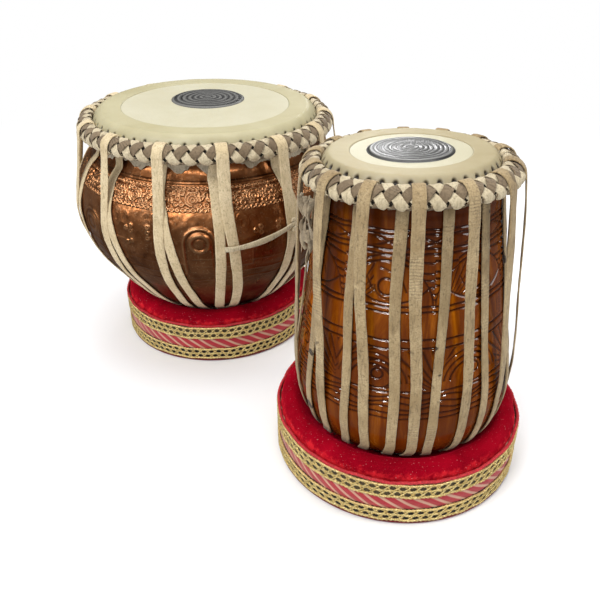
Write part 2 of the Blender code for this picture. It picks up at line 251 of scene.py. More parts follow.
def frame_of(path, side, closed):
    """Sideways and upward directions square to a path."""
    along = tangents(path, closed)
    side = side - along * np.sum(side * along, axis=1)[:, None]
    side /= np.maximum(np.linalg.norm(side, axis=1), 1e-9)[:, None]
    return side, np.cross(along, side)


def ribbon(patches, path, side, width, thick, closed=False, tone=0.0, count=12, boxy=0.45,
           cup=0.0):
    """Flat strap with rounded edges. width, thick and tone may vary along the path."""
    side, up = frame_of(path, np.asarray(side, float), closed)
    angle = TAU * (np.arange(count) + 0.5) / count
    x = np.sign(np.cos(angle)) * np.abs(np.cos(angle)) ** boxy
    y = np.sign(np.sin(angle)) * np.abs(np.sin(angle)) ** 0.75
    width, thick = np.reshape(width, (-1, 1)), np.reshape(thick, (-1, 1))
    across, above = 0.5 * width * x, 0.5 * thick * y - cup * width * (x ** 2)
    points = path[:, None] + side[:, None] * across[..., None] + up[:, None] * above[..., None]
    run = np.repeat(arc_length(path)[:, None], count, 1)
    tone = np.broadcast_to(np.reshape(tone, (-1, 1)), run.shape)
    patches.add(points, quads(*run.shape, True, closed), tone, run)
    if not closed:
        i = np.arange(count // 2 - 1)
        cap = np.stack([i, i + 1, count - 2 - i, count - 1 - i], axis=-1)
        patches.add(points[0], cap[:, ::-1], tone[0], run[0])
        patches.add(points[-1], cap, tone[-1], run[-1])


def cord(patches, path, radius, twist, lobes, depth, count, tone=0.0):
    """Closed cord with lobes that wind round it like twisted thread."""
    side, up = frame_of(path, np.array([0.0, 0.0, 1.0]), True)
    along = arc_length(path)[:, None]
    angle = circle(count)
    girth = radius * (1 + depth * np.cos(lobes * (angle[None] - twist * along)))
    points = (path[:, None] + side[:, None] * (girth * np.cos(angle))[..., None]
              + up[:, None] * (girth * np.sin(angle))[..., None])
    patches.add(points, quads(*girth.shape, True, True), tone, np.repeat(along, count, 1))


# ------------------------------------------------------------------ material tools
class Nodes:
    """Short-hand for wiring a node tree."""

    def __init__(self, tree):
        self.tree = tree

    def put(self, socket, value):
        if isinstance(value, bpy.types.NodeSocket):
            self.tree.links.new(value, socket)
        elif isinstance(value, tuple) and socket.type == "RGBA":
            socket.default_value = (*value, 1.0)
        else:
            socket.default_value = value

    def node(self, kind, inputs=None, **settings):
        node = self.tree.nodes.new(kind)
        for name, value in settings.items():
            setattr(node, name, value)
        for name, value in (inputs or {}).items():
            self.put(node.inputs[name], value)
        return node

    def mix(self, fac, low, high):
        return self.node("ShaderNodeMix", {0: fac, 6: low, 7: high}, data_type="RGBA").outputs[2]


class Material(Nodes):
    """A principled material whose tint and normal are built up layer by layer."""

    def __init__(self, name, tint=None):
        self.material = bpy.data.materials.new(name)
        self.material.use_nodes = True
        super().__init__(self.material.node_tree)
        self.shader = self.tree.nodes["Principled BSDF"]
        self.tint, self.normal = tint, None

    def set(self, **values):
        for name, value in values.items():
            self.put(self.shader.inputs[name.replace("_", " ")], value)

    def finish(self, **values):
        self.set(Base_Color=self.tint, Normal=self.normal, **values)
        return self.material

    def attr(self, name, output="Fac"):
        return self.node("ShaderNodeAttribute", attribute_name=name).outputs[output]

    def loc(self, scale):
        return self.node("ShaderNodeMapping",
                         {"Vector": self.attr("loc", "Vector"), "Scale": scale}).outputs[0]

    @cached_property
    def here(self):
        return self.loc((1, 1, 1))

    def height(self):
        return self.node("ShaderNodeSeparateXYZ", {0: self.attr("loc", "Vector")}).outputs[2]

    def noise(self, scale, detail=4.0, rough=0.5, warp=0.0, at=None):
        return self.node("ShaderNodeTexNoise", {
            "Vector": at or self.here, "Scale": scale, "Detail": detail, "Roughness": rough,
            "Distortion": warp}).outputs[0]

    def wave(self, direction, at, **inputs):
        return self.node("ShaderNodeTexWave", {"Vector": at, **inputs},
                         bands_direction=direction).outputs[1]

    def math(self, operation, value, by=0.0, clamp=False):
        return self.node("ShaderNodeMath", {0: value, 1: by}, operation=operation,
                         use_clamp=clamp).outputs[0]

    def times(self, value, by, clamp=False):
        return self.math("MULTIPLY", value, by, clamp)

    def span(self, value, over, to=(0.0, 1.0)):
        """Map the range `over` onto the range `to`."""
        return self.node("ShaderNodeMapRange",
                         {0: value, 1: over[0], 2: over[1], 3: to[0], 4: to[1]}).outputs[0]

    def ramp(self, fac, stops):
        """Start the tint from a colour ramp."""
        node = self.node("ShaderNodeValToRGB", {0: fac})
        elements = node.color_ramp.elements
        while len(elements) < len(stops):
            elements.new(0.5)
        for element, (position, color) in zip(elements, stops):
            element.position, element.color = position, (*color, 1.0)
        self.tint = node.outputs[0]

    def blend(self, fac, color):
        self.tint = self.mix(fac, self.tint, color)

    def wash(self, value, over, color, most=1.0):
        """Lay a colour over the tint, rising to `most` as the value crosses `over`."""
        self.blend(self.span(value, over, (0.0, most)), color)

    def bump(self, height, strength, depth):
        inputs = {"Height": height, "Strength": strength, "Distance": depth}
        if self.normal is not None:
            inputs["Normal"] = self.normal
        self.normal = self.node("ShaderNodeBump", inputs).outputs[0]


# ------------------------------------------------------------------ materials
def copper():
    """Tone is the relief: raised above 0.5, sunk below."""
    mat = Material("copper_embossed")
    relief = mat.attr("tone")
    patina = mat.noise(scale=28.0, detail=6.0, rough=0.62, warp=0.6)
    fine = mat.noise(scale=260.0, rough=0.6)
    mat.ramp(patina, [(0.25, (0.20, 0.068, 0.022)), (0.5, (0.34, 0.125, 0.042)),
                      (0.8, (0.50, 0.215, 0.085))])
    mat.wash(relief, over=(0.50, 0.15), color=(0.070, 0.022, 0.008))
    # painted highlight: the raised relief washed towards bright copper
    mat.wash(relief, over=(0.62, 0.95), most=0.72, color=(0.84, 0.48, 0.24))
    mat.wash(fine, over=(0.62, 0.75), most=0.45, color=(0.09, 0.036, 0.02))
    # painted shade: darker towards the bottom of the bowl, which turns down
    mat.wash(mat.height(), over=(0.165, 0.085), most=0.70, color=(0.11, 0.034, 0.016))
    film = mat.noise(scale=46.0, detail=6.0, rough=0.70, warp=0.6)
    dull = mat.span(film, over=(0.42, 0.66), to=(0.0, 0.60))
    mat.blend(dull, color=(0.25, 0.118, 0.050))
    mat.wash(mat.noise(scale=480.0, detail=3.0, rough=0.7), over=(0.58, 0.74), most=0.5,
             color=(0.78, 0.50, 0.28))
    dents = mat.node("ShaderNodeTexVoronoi", {"Vector": mat.here, "Scale": 105.0},
                     feature="SMOOTH_F1").outputs["Distance"]
    mat.bump(dents, strength=0.30, depth=0.0012)
    mat.bump(fine, strength=0.22, depth=0.0004)
    mat.bump(mat.noise(scale=70.0, detail=3.0), strength=0.35, depth=0.0016)
    rough = mat.math("ADD", mat.span(patina, over=(0.3, 0.75), to=(0.25, 0.38)),
                     mat.times(dull, by=0.15))
    return mat.finish(Metallic=mat.span(film, over=(0.42, 0.66), to=(1.0, 0.80)), Roughness=rough)


def wood():
    """Tone is the depth of the carving, and at the top of the shell a painted shadow under the
    hoop.
    """
    mat = Material("lacquered_wood_carved")
    grain = mat.noise(scale=1.6, detail=8.0, rough=0.62, warp=0.9, at=mat.loc((60, 60, 4.5)))
    fine = mat.noise(scale=1.0, detail=3.0, rough=0.6, at=mat.loc((420, 420, 14)))
    mat.ramp(grain, [(0.28, (0.072, 0.012, 0.0003)), (0.48, (0.205, 0.044, 0.0007)),
                     (0.60, (0.36, 0.095, 0.0016)), (0.76, (0.60, 0.195, 0.004))])
    mat.wash(mat.noise(scale=14.0, detail=3.0), over=(0.40, 0.62), most=0.60,
             color=(0.085, 0.015, 0.001))
    height = mat.height()
    # painted shade: darker towards the bottom, where the barrel turns down
    mat.wash(height, over=(0.150, 0.075), most=0.55, color=(0.075, 0.013, 0.001))
    # painted shadow of the hoop: darker towards the top of the shell
    mat.wash(height, over=(0.200, 0.256), most=0.74, color=(0.040, 0.006, 0.0008))
    mat.wash(fine, over=(0.45, 0.75), most=0.30, color=(0.11, 0.028, 0.003))
    mat.wash(mat.attr("tone"), over=(0.05, 0.85), most=0.90, color=(0.035, 0.007, 0.0016))
    mat.bump(grain, strength=0.10, depth=0.0006)
    return mat.finish(Roughness=mat.span(grain, over=(0.3, 0.8), to=(0.20, 0.32)),
                      Coat_Weight=0.66, Coat_Roughness=0.04, Specular_IOR_Level=0.05)


def hide(name, pale, mid, dirt, rough=0.82, spots=0.5, creases=0.25):
    """Suede-like rawhide; tone picks more dirt."""
    mat = Material(name, tint=mid)
    cloud = mat.noise(scale=42.0, detail=5.0, rough=0.6, warp=0.3)
    nap = mat.noise(scale=900.0, detail=3.0, rough=0.7)
    fibre = mat.noise(scale=1.0, rough=0.6, at=mat.loc((700, 700, 90)))
    speck = mat.noise(scale=420.0, detail=2.0, rough=0.6)
    mat.wash(cloud, over=(0.30, 0.70), color=pale)
    mat.wash(nap, over=(0.42, 0.60), most=0.60, color=mid)
    mat.wash(fibre, over=(0.50, 0.72), most=0.50, color=dirt)
    mat.wash(speck, over=(0.56, 0.70), most=0.45, color=dirt)
    patchy = mat.span(mat.noise(scale=34.0, rough=0.6), over=(0.42, 0.62))
    worn = mat.times(mat.attr("tone"), by=patchy, clamp=True)
    mat.blend(mat.times(worn, by=0.55), color=mid)
    marks = mat.span(mat.noise(scale=62.0, detail=2.0, warp=0.2), over=(0.685, 0.715))
    dirty = mat.times(marks, by=mat.math("ADD", mat.attr("tone"), by=0.15), clamp=True)
    mat.blend(mat.times(dirty, by=spots * 1.6, clamp=True), color=dirt)
    mat.bump(nap, strength=0.35, depth=0.0003)
    mat.bump(mat.noise(scale=210.0, detail=3.0, rough=0.6), strength=0.35, depth=0.0006)
    # creases across the strap, in scattered places
    phase = mat.math("ADD", mat.times(mat.attr("run"), by=2600.0),
                     mat.times(mat.noise(scale=120.0, detail=2.0), by=9.0))
    places = mat.span(mat.noise(scale=21.0, detail=2.0), over=(0.55, 0.62))
    fold = mat.times(mat.math("SINE", phase), by=places, clamp=True)
    mat.bump(fold, strength=min(0.55, 2.2 * creases), depth=0.0006)
    mat.blend(mat.times(fold, by=creases), color=dirt)
    return mat.finish(Roughness=rough, Sheen_Weight=0.12, Sheen_Roughness=0.5,
                      Specular_IOR_Level=0.3)


def skin(name, pale, warm, rough):
    """Drum skin; tone darkens the holes, where the dark is painted shade."""
    mat = Material(name, tint=warm)
    pores = mat.noise(scale=620.0, detail=3.0, rough=0.65)
    mat.wash(mat.noise(scale=16.0, detail=6.0, rough=0.65, warp=0.5), over=(0.35, 0.7), color=pale)
    mat.wash(pores, over=(0.56, 0.74), most=0.30, color=(0.42, 0.34, 0.21))
    mat.wash(mat.noise(scale=75.0, rough=0.7, warp=1.2), over=(0.66, 0.78), most=0.20,
             color=(0.45, 0.36, 0.22))
    # tone darkens: painted shade in the holes, a line round the playing skin, and the outer edge
    mat.blend(mat.attr("tone"), color=(0.02, 0.012, 0.008))
    mat.bump(pores, strength=0.16, depth=0.0003)
    mat.bump(mat.noise(scale=38.0, rough=0.6), strength=0.10, depth=0.0020)
    return mat.finish(Roughness=rough, Subsurface_Weight=0.08,
                      Subsurface_Radius=(0.004, 0.003, 0.002), Subsurface_Scale=1.0,
                      Specular_IOR_Level=0.45)


def paste(name, dark, light, rough, coat):
    """Tuning paste laid in thin rings; tone runs with the rings."""
    mat = Material(name, tint=dark)
    cloud = mat.noise(scale=30.0, detail=5.0, rough=0.6)
    grit = mat.noise(scale=700.0, detail=3.0, rough=0.7)
    mat.blend(mat.attr("tone"), color=light)
    mat.wash(cloud, over=(0.35, 0.75), most=0.35, color=light)
    mat.wash(grit, over=(0.60, 0.75), most=0.4, color=(0.30, 0.30, 0.29))
    mat.bump(grit, strength=0.30, depth=0.0003)
    return mat.finish(Roughness=mat.span(cloud, over=(0.3, 0.8), to=(rough, rough + 0.12)),
                      Coat_Weight=coat, Coat_Roughness=0.18)


def velvet():
    mat = Material("crimson_velvet")
    pile = mat.noise(scale=1400.0, detail=2.0, rough=0.7)
    brush = mat.noise(scale=22.0, detail=5.0, rough=0.6, warp=0.8)
    mat.ramp(brush, [(0.28, (0.135, 0.0, 0.004)), (0.5, (0.245, 0.0, 0.007)),
                     (0.75, (0.36, 0.001, 0.012))])
    mat.wash(pile, over=(0.45, 0.72), most=0.40, color=(0.47, 0.006, 0.022))
    # painted sheen: brighter, with a ragged edge, next to the outer seam
    flat = mat.node("ShaderNodeVectorMath", {0: mat.attr("loc", "Vector"), 1: (1.0, 1.0, 0.0)},
                    operation="MULTIPLY").outputs[0]
    radius = mat.node("ShaderNodeVectorMath", {0: flat}, operation="LENGTH").outputs["Value"]
    wobble = mat.math("SUBTRACT", mat.noise(scale=160.0, rough=0.7), by=0.5)
    ragged = mat.math("ADD", radius, mat.times(wobble, by=0.010))
    mat.wash(ragged, over=(0.1036, 0.1056), most=0.70, color=(0.72, 0.020, 0.030))
    lint = mat.span(mat.noise(scale=900.0, detail=1.0, rough=0.4), over=(0.735, 0.76))
    mat.blend(mat.times(lint, by=0.6), color=(0.75, 0.30, 0.32))
    mat.bump(pile, strength=0.55, depth=0.0007)
    mat.bump(brush, strength=0.35, depth=0.0030)
    return mat.finish(Roughness=0.95, Sheen_Weight=0.60, Sheen_Roughness=0.30,
                      Sheen_Tint=(0.95, 0.01, 0.05), Specular_IOR_Level=0.03)


def thread(name, low, high, metal, rough):
    """Spun thread; tone shades it towards the first colour."""
    mat = Material(name, tint=low)
    fibre = mat.noise(scale=900.0, detail=3.0, rough=0.7)
    mat.wash(fibre, over=(0.38, 0.68), color=high)
    mat.wash(mat.noise(scale=60.0, detail=3.0, rough=0.6), over=(0.55, 0.8), most=0.4, color=low)
    mat.blend(mat.attr("tone"), color=low)
    spin = mat.math("SINE", mat.times(mat.attr("run"), by=4200.0))
    mat.bump(spin, strength=0.35, depth=0.0004)
    mat.bump(fibre, strength=0.40, depth=0.0004)
    return mat.finish(Roughness=rough, Metallic=metal)


def satin():
    """Slanting stripes; tone carries the stripe phase."""
    mat = Material("striped_satin")
    phase = mat.math("FRACT", mat.attr("tone"))
    weave = mat.wave("Z", mat.loc((1, 1, 1)), Scale=420.0, Distortion=0.6, Detail=1.0)
    wobble = mat.math("SUBTRACT", mat.noise(scale=300.0, detail=2.0), by=0.5)
    edge = mat.math("ADD", phase, mat.times(wobble, by=0.035))
    mat.ramp(edge, [(0.0, (0.44, 0.003, 0.016)), (0.56, (0.50, 0.006, 0.022)),
                    (0.60, (0.60, 0.30, 0.20)), (0.74, (0.68, 0.42, 0.29)),
                    (0.93, (0.58, 0.26, 0.18)), (0.965, (0.44, 0.003, 0.016))])
    mat.blend(mat.times(weave, by=0.22), color=(0.20, 0.003, 0.008))
    mat.wash(mat.noise(scale=45.0, rough=0.6), over=(0.5, 0.8), most=0.35,
             color=(0.30, 0.02, 0.02))
    mat.bump(weave, strength=0.25, depth=0.0004)
    mat.bump(mat.math("PINGPONG", phase, by=0.5), strength=0.4, depth=0.0012)
    return mat.finish(Roughness=0.42, Sheen_Weight=0.25, Specular_IOR_Level=0.5)


def cloth(name, light, dark):
    mat = Material(name, tint=light)
    weave = mat.times(mat.wave("X", mat.here, Scale=300.0), by=mat.wave("Y", mat.here, Scale=300.0))
    mat.blend(mat.noise(scale=35.0, detail=5.0, rough=0.6), color=dark)
    mat.blend(mat.times(weave, by=0.35), color=dark)
    mat.bump(weave, strength=0.4, depth=0.0005)
    return mat.finish(Roughness=0.9, Sheen_Weight=0.2)


COPPER = copper()
WOOD = wood()
RAWHIDE = hide("rawhide_strap", pale=(0.76, 0.635, 0.42), mid=(0.54, 0.42, 0.235),
               dirt=(0.19, 0.128, 0.060), spots=0.2, creases=0.04)
RAWHIDE_WORN = hide("rawhide_strap_worn", pale=(0.53, 0.405, 0.225), mid=(0.27, 0.185, 0.085),
                    dirt=(0.050, 0.032, 0.015), spots=0.75)
TAIL = hide("strap_tail", pale=(0.52, 0.430, 0.290), mid=(0.235, 0.178, 0.110),
            dirt=(0.032, 0.021, 0.012), spots=0.8)
CREAM = hide("plait_cream", pale=(0.68, 0.585, 0.405), mid=(0.46, 0.375, 0.230),
             dirt=(0.15, 0.110, 0.060), rough=0.50, spots=0.3, creases=0.0)
TAUPE = hide("plait_taupe", pale=(0.275, 0.200, 0.118), mid=(0.150, 0.105, 0.060),
             dirt=(0.045, 0.030, 0.016), rough=0.85)
# painted shade: near-black core under the plait so the gaps between strands look shaded
SHADE = hide("plait_core_shade", pale=(0.075, 0.058, 0.042), mid=(0.05, 0.038, 0.028),
             dirt=(0.02, 0.015, 0.01))
FRINGE = hide("skirt_edge", pale=(0.66, 0.58, 0.43), mid=(0.44, 0.365, 0.25),
              dirt=(0.12, 0.085, 0.05), rough=0.7)
PLAYING_SKIN = skin("playing_skin", pale=(0.600, 0.565, 0.420), warm=(0.545, 0.505, 0.350),
                    rough=0.44)
RING_WORN = skin("ring_skin_worn", pale=(0.520, 0.475, 0.300), warm=(0.455, 0.405, 0.235),
                 rough=0.46)
RING_TAN = skin("ring_skin_tan", pale=(0.480, 0.415, 0.255), warm=(0.405, 0.335, 0.190),
                rough=0.46)
PASTE_MATTE = paste("paste_matte", dark=(0.012, 0.012, 0.012), light=(0.150, 0.147, 0.137),
                    rough=0.50, coat=0.0)
PASTE_POLISHED = paste("paste_polished", dark=(0.012, 0.012, 0.012), light=(0.225, 0.222, 0.210),
                       rough=0.30, coat=0.5)
VELVET = velvet()
PIPING = thread("coral_cord", low=(0.30, 0.002, 0.010), high=(0.74, 0.035, 0.040), metal=0.0,
                rough=0.8)
GOLD = thread("gold_cord", low=(0.60, 0.395, 0.100), high=(1.0, 0.86, 0.44), metal=0.42,
              rough=0.30)
TAPE_DARK = cloth("trim_backing", light=(0.020, 0.009, 0.005), dark=(0.009, 0.005, 0.003))
TAPE_GOLD = cloth("trim_backing_gold", light=(0.10, 0.068, 0.020), dark=(0.035, 0.022, 0.007))
SATIN = satin()
COTTON = cloth("cotton_stuffing", light=(0.80, 0.76, 0.68), dark=(0.62, 0.57, 0.48))
BASE_CLOTH = cloth("base_cloth", light=(0.26, 0.002, 0.010), dark=(0.10, 0.0, 0.004))


# ------------------------------------------------------------------ cushions
HOLE_R = 0.0545             # hole through the middle
COVER_SEGMENTS = 168
COVER_CAP = 0.0055          # furthest the velvet may blow out
CLOTH_FRAMES = 20

# (radius, height) from the foot of the outer wall, up over the crest to the inner lip
CUSHION_WALL = [(0.1040, 0.0035), (0.1045, 0.0200), (0.1049, 0.0380), (0.1052, 0.0440),
                (0.1046, 0.0478), (0.1018, 0.0526), (0.0975, 0.0553), (0.0935, 0.0559),
                (0.0885, 0.0545)]
# (radius, height) of the side band, bottom to top
BAND_PROFILE = [(0.1045, 0.0030), (0.1055, 0.0050), (0.1060, 0.0120), (0.1069, 0.0190),
                (0.1070, 0.0230), (0.1067, 0.0270), (0.1059, 0.0330), (0.1055, 0.0425),
                (0.1045, 0.0432)]
BASE_PROFILE = [(HOLE_R, 0.0), (0.0900, 0.0), (0.1072, 0.0002), (0.1084, 0.0012),
                (0.1076, 0.0026), (0.0900, 0.0024), (HOLE_R, 0.0024)]


def blow_up(ob, pinned):
    """Positions of the velvet blown up like a stuffed cover."""
    rest = np.array([v.co for v in ob.data.vertices])
    new = rest.copy()
    group = ob.vertex_groups.new(name="pin")
    for i, weight in enumerate(pinned):
        if weight > 0:
            group.add([i], float(weight), "REPLACE")
    modifier = ob.modifiers.new("cloth", "CLOTH")
    settings = modifier.settings
    settings.quality = 5
    settings.mass = 0.3
    settings.tension_stiffness = settings.compression_stiffness = 12
    settings.shear_stiffness = 4
    settings.bending_stiffness = 0.4
    settings.use_pressure = True
    settings.uniform_pressure_force = 4.0
    settings.vertex_group_mass = "pin"
    settings.effector_weights.gravity = 0.0
    modifier.point_cache.frame_start, modifier.point_cache.frame_end = 1, CLOTH_FRAMES
    for i in range(1, CLOTH_FRAMES + 1):
        bpy.context.scene.frame_set(i)
    evaluated = ob.evaluated_get(bpy.context.evaluated_depsgraph_get())
    blown = np.empty(len(rest) * 3)
    evaluated.data.vertices.foreach_get("co", blown)
    move = blown.reshape(-1, 3) - rest
    if np.all(np.isfinite(move)):
        length = np.linalg.norm(move, axis=1)
        new = rest + move * np.minimum(1.0, COVER_CAP / np.maximum(length, 1e-9))[:, None]
    ob.modifiers.clear()
    ob.vertex_groups.clear()
    bpy.context.scene.frame_set(1)
    return new


def puff(ob, pinned, pivot, keep_out):
    """Blow up the cover, keep it clear of the drum, then smooth it once."""
    low = np.array([v.co for v in ob.data.vertices])[:, 2] < 0.062
    new = blow_up(ob, pinned)
    from_pivot = new - pivot
    distance = np.linalg.norm(from_pivot, axis=1)
    near = low & (distance < keep_out)
    new[near] = pivot + from_pivot[near] * (keep_out / distance[near])[:, None]
    ob.data.vertices.foreach_set("co", new.ravel())
    ob.data.update()
    subdivision = ob.modifiers.new("sub", "SUBSURF")
    subdivision.levels = subdivision.render_levels = 1
    evaluated = ob.evaluated_get(bpy.context.evaluated_depsgraph_get())
    mesh = bpy.data.meshes.new_from_object(evaluated)
    ob.modifiers.clear()
    ob.data = mesh


def velvet_cover(base, outline, pivot, keep_out, seed):
    def gather(angle, radius, z, run):
        near_seam = ridge(z, 0.0462, 0.0050) * (radius > 0.098)
        top = (z > 0.047) & (radius > 0.084)
        points = polar(radius, angle, z)
        push = 0.0011 * layered_noise(points * 34, seed, 3) * top
        folds = np.sin(angle * 57 + 2.3 * np.sin(angle * 5 + seed) + seed)
        push = push + near_seam * 0.00055 * folds
        return push + 0.0007 * layered_noise(points * 95, seed + 7, 2) * top, 0.0

    profile = spline(outline, 0.0042, closed=True)
    patches = Patches()
    lathe(patches, profile, COVER_SEGMENTS, gather)
    cover = patches.make(base, "velvet", VELVET)
    radius, z = (np.repeat(column, COVER_SEGMENTS) for column in profile.T)
    pinned = 1.0 - smoothstep(0.0450, 0.0490, z) * (radius > 0.0600)
    puff(cover, pinned, pivot, keep_out)
    register(cover, base, "cushion_cover")


def stuffing(base, outline):
    def lumps(angle, radius, z, run):
        return 0.0008 * noise(polar(radius, angle, z) * 160, 3), 0.0

    patches = Patches()
    inner = offset_profile(spline(outline, 0.009, closed=True), -0.0045)
    lathe(patches, inner, 72, lumps, closed=True)
    patches.place(base, "stuffing", COTTON, "cotton_stuffing", "cushion_core")


def stripe_band(base, seed):
    """Satin side band; each slanting stripe swells a little."""
    profile = spline(BAND_PROFILE, 0.0012)
    angle, radius = np.meshgrid(np.linspace(0, TAU, 481), profile[:, 0])
    z = np.repeat(profile[:, 1:2], 481, 1)
    phase = (angle * 50 / TAU + z * 112.0 + 0.05 * np.sin(angle * 9 + seed)
             + 0.03 * np.sin(angle * 23))
    part = phase - np.floor(phase)
    radius = radius + 0.00035 * np.sin(np.pi * np.where(part < 0.52, part / 0.52,
                                                        (part - 0.52) / 0.48))
    radius = radius + (0.0003 * np.sin(angle * 5 + seed) * smoothstep(0.012, 0.02, z)
                       * smoothstep(0.034, 0.026, z))
    patches = Patches()
    patches.add(polar(radius, angle, z), quads(*z.shape, False), phase, z)
    patches.place(base, "stripe_band", SATIN, "striped_satin", "cushion_stripe_band")


def gold_trim(base, name, tape, low, high, seed):
    """Two rows of crossed cords over a tape, edged and parted by rolled cord."""
    middle = 0.5 * (low + high)
    patches = Patches()
    lathe(patches, spline([(0.1066, low), (0.1073, low + 0.001), (0.1074, middle),
                           (0.1073, high - 0.001), (0.1066, high)], 0.0015), 240)
    patches.place(base, name + "_tape", tape, "gold_trim")

    patches = Patches()
    angle = circle(756)
    wobble = 0.00030 * np.sin(angle * 13 + seed) + 0.00022 * np.sin(angle * 29 + 1)
    rails = low + 0.0009, middle, high - 0.0009
    for z, radius, twist in zip(rails, (0.00105, 0.00085, 0.00105), (900.0, -900.0, 900.0)):
        cord(patches, polar(0.1080 + 0.0002 * np.sin(angle * 31), angle, z + wobble), radius,
             twist, lobes=2, depth=0.26, count=8)
    for row, (bottom, top) in enumerate(zip(rails, rails[1:])):
        phase = angle * 42 + row * 0.5 * math.pi
        wave = (0.5 * (top - bottom) - 0.0002) * np.sin(phase) * (1 - 0.18 * np.cos(2 * phase))
        for sign in (1, -1):
            path = polar(0.1081 + sign * 0.00045 * np.cos(phase), angle,
                         0.5 * (bottom + top) + sign * wave + wobble)
            cord(patches, path, 0.00062, twist=1400.0, lobes=2, depth=0.25, count=6)
    patches.place(base, name, GOLD, "gold_trim", "cushion_" + name)


def piping(base, seed):
    angle = circle(720)
    z = 0.0447 + 0.00045 * np.sin(angle * 11 + seed) + 0.00025 * np.sin(angle * 37)
    patches = Patches()
    cord(patches, polar(0.1073 + 0.0003 * np.sin(angle * 17), angle, z), 0.0013, twist=420.0,
         lobes=3, depth=0.10, count=10)
    patches.place(base, "piping", PIPING, "coral_piping", "cushion_piping")


def cushion(key, seat_radius, seed, gap=0.0):
    """Ring cushion hollowed to the drum's round foot; gap is extra room for the straps."""
    base = mount(key, "cushion")
    pivot = np.array(JOINTS[key + "_tilt"]["pos_m"])
    seat = seat_radius + 0.0029 + gap
    bowl = [(radius, pivot[2] - math.sqrt(seat * seat - radius * radius))
            for radius in (0.0820, 0.0740, 0.0660, 0.0595)]
    outline = CUSHION_WALL + bowl + [(HOLE_R + 0.0008, bowl[-1][1] - 0.0045), (HOLE_R, 0.0200),
                                     (HOLE_R, 0.0040), (0.0800, 0.0030)]
    velvet_cover(base, outline, pivot, seat_radius + 0.0023 + gap, seed)
    stuffing(base, outline)
    stripe_band(base, seed)
    gold_trim(base, "bottom_trim", TAPE_DARK, 0.0030, 0.0158, seed)
    gold_trim(base, "top_trim", TAPE_GOLD, 0.0288, 0.0428, seed)
    piping(base, seed)
    patches = Patches()
    lathe(patches, BASE_PROFILE, 160, closed=True)
    patches.place(base, "base_cloth", BASE_CLOTH, "base_cloth", "cushion_base")


BAYAN_SEAT_R, DAYAN_SEAT_R = 0.1334, 0.1175
cushion("bayan", BAYAN_SEAT_R, seed=3)
cushion("dayan", DAYAN_SEAT_R, seed=11, gap=0.0022)


# ------------------------------------------------------------------ shell profiles
def seat_arc(pivot_z, radius, low, high, count):
    """Round foot of a drum, as (radius, height) points."""
    angles = np.linspace(math.acos((pivot_z - low) / radius),
                         math.acos((pivot_z - high) / radius), count)
    return [(radius * math.sin(t), pivot_z - radius * math.cos(t)) for t in angles]


BAYAN_FOOT, DAYAN_FOOT = 0.045, 0.040       # heights of the flat undersides
# outer faces as (radius, height), bottom to top
BAYAN_OUT = spline(seat_arc(0.160, BAYAN_SEAT_R, BAYAN_FOOT, 0.085, 7) + [
    (0.1293, 0.112), (0.1400, 0.138), (0.1436, 0.165), (0.1396, 0.186), (0.1290, 0.206),
    (0.1226, 0.2127), (0.1167, 0.2190), (0.1143, 0.2233), (0.1135, 0.2290), (0.1135, 0.2440)],
    0.0005)
DAYAN_OUT = spline(seat_arc(0.137, DAYAN_SEAT_R, DAYAN_FOOT, 0.053, 5) + [
    (0.0866, 0.0640), (0.0896, 0.0775), (0.0905, 0.092), (0.0892, 0.110), (0.0840, 0.1440),
    (0.0775, 0.1930), (0.0725, 0.2300), (0.0694, 0.2530), (0.0668, 0.2565), (0.0645, 0.2590),
    (0.0640, 0.2640), (0.0640, 0.2690)], 0.0005)

PANEL = TAU / 7             # the reliefs repeat seven times round


def within_panel(angle, middle_degrees):
    """Angle from the middle of the nearest panel."""
    return (angle - math.radians(middle_degrees) + 0.5 * PANEL) % PANEL - 0.5 * PANEL


# ------------------------------------------------------------------ bayan shell
# Inside the reliefs x, y and their sizes are millimetres; pushes are metres.
BAND_TURN = 816.8           # once round the chased band, mm


def hammered(angle, radius, z, amount):
    points = polar(radius, angle, z)
    return amount * (noise(points * 115, 5) + 0.6 * noise(points * 240, 6))


def lattice(x, y, pitch, rows, first_y, row_step, radius, width, seed, wobble):
    """Raised rings with a centre dot, on a loose lattice."""
    total = np.zeros_like(x)
    for row in range(rows):
        shift = 0.5 * pitch * (row % 2)
        for near in (-1, 0, 1):
            i = np.round((x - shift) / pitch) + near
            ring_x = i * pitch + shift + wobble * pitch * (hash01(i, row, seed) - 0.5)
            ring_y = (first_y + row * row_step
                      + wobble * row_step * (hash01(i, row, seed + 1) - 0.5))
            ring_r = radius * (0.85 + 0.35 * hash01(i, row, seed + 2))
            distance = np.hypot(x - ring_x, y - ring_y)
            total = np.maximum(total, ridge(distance, ring_r, width))
            total = np.maximum(total, 0.8 * ridge(distance, 0, 0.72 * width))
    return total


# count round the band, rows, first y, row step, radius, width, seed, wobble, height
BAND_LATTICES = [(196, 1, 23.0, 1, 1.30, 0.62, 21, 0.15, 1.0),      # beads under the top edge
                 (118, 3, 7.6, 5.0, 2.00, 0.72, 31, 0.50, 1.0),     # florets
                 (132, 2, 10.4, 6.0, 1.1, 0.60, 51, 0.7, 0.9),      # smaller florets
                 (168, 1, 2.4, 1, 1.60, 0.66, 41, 0.12, 1.0)]       # scalloped foot


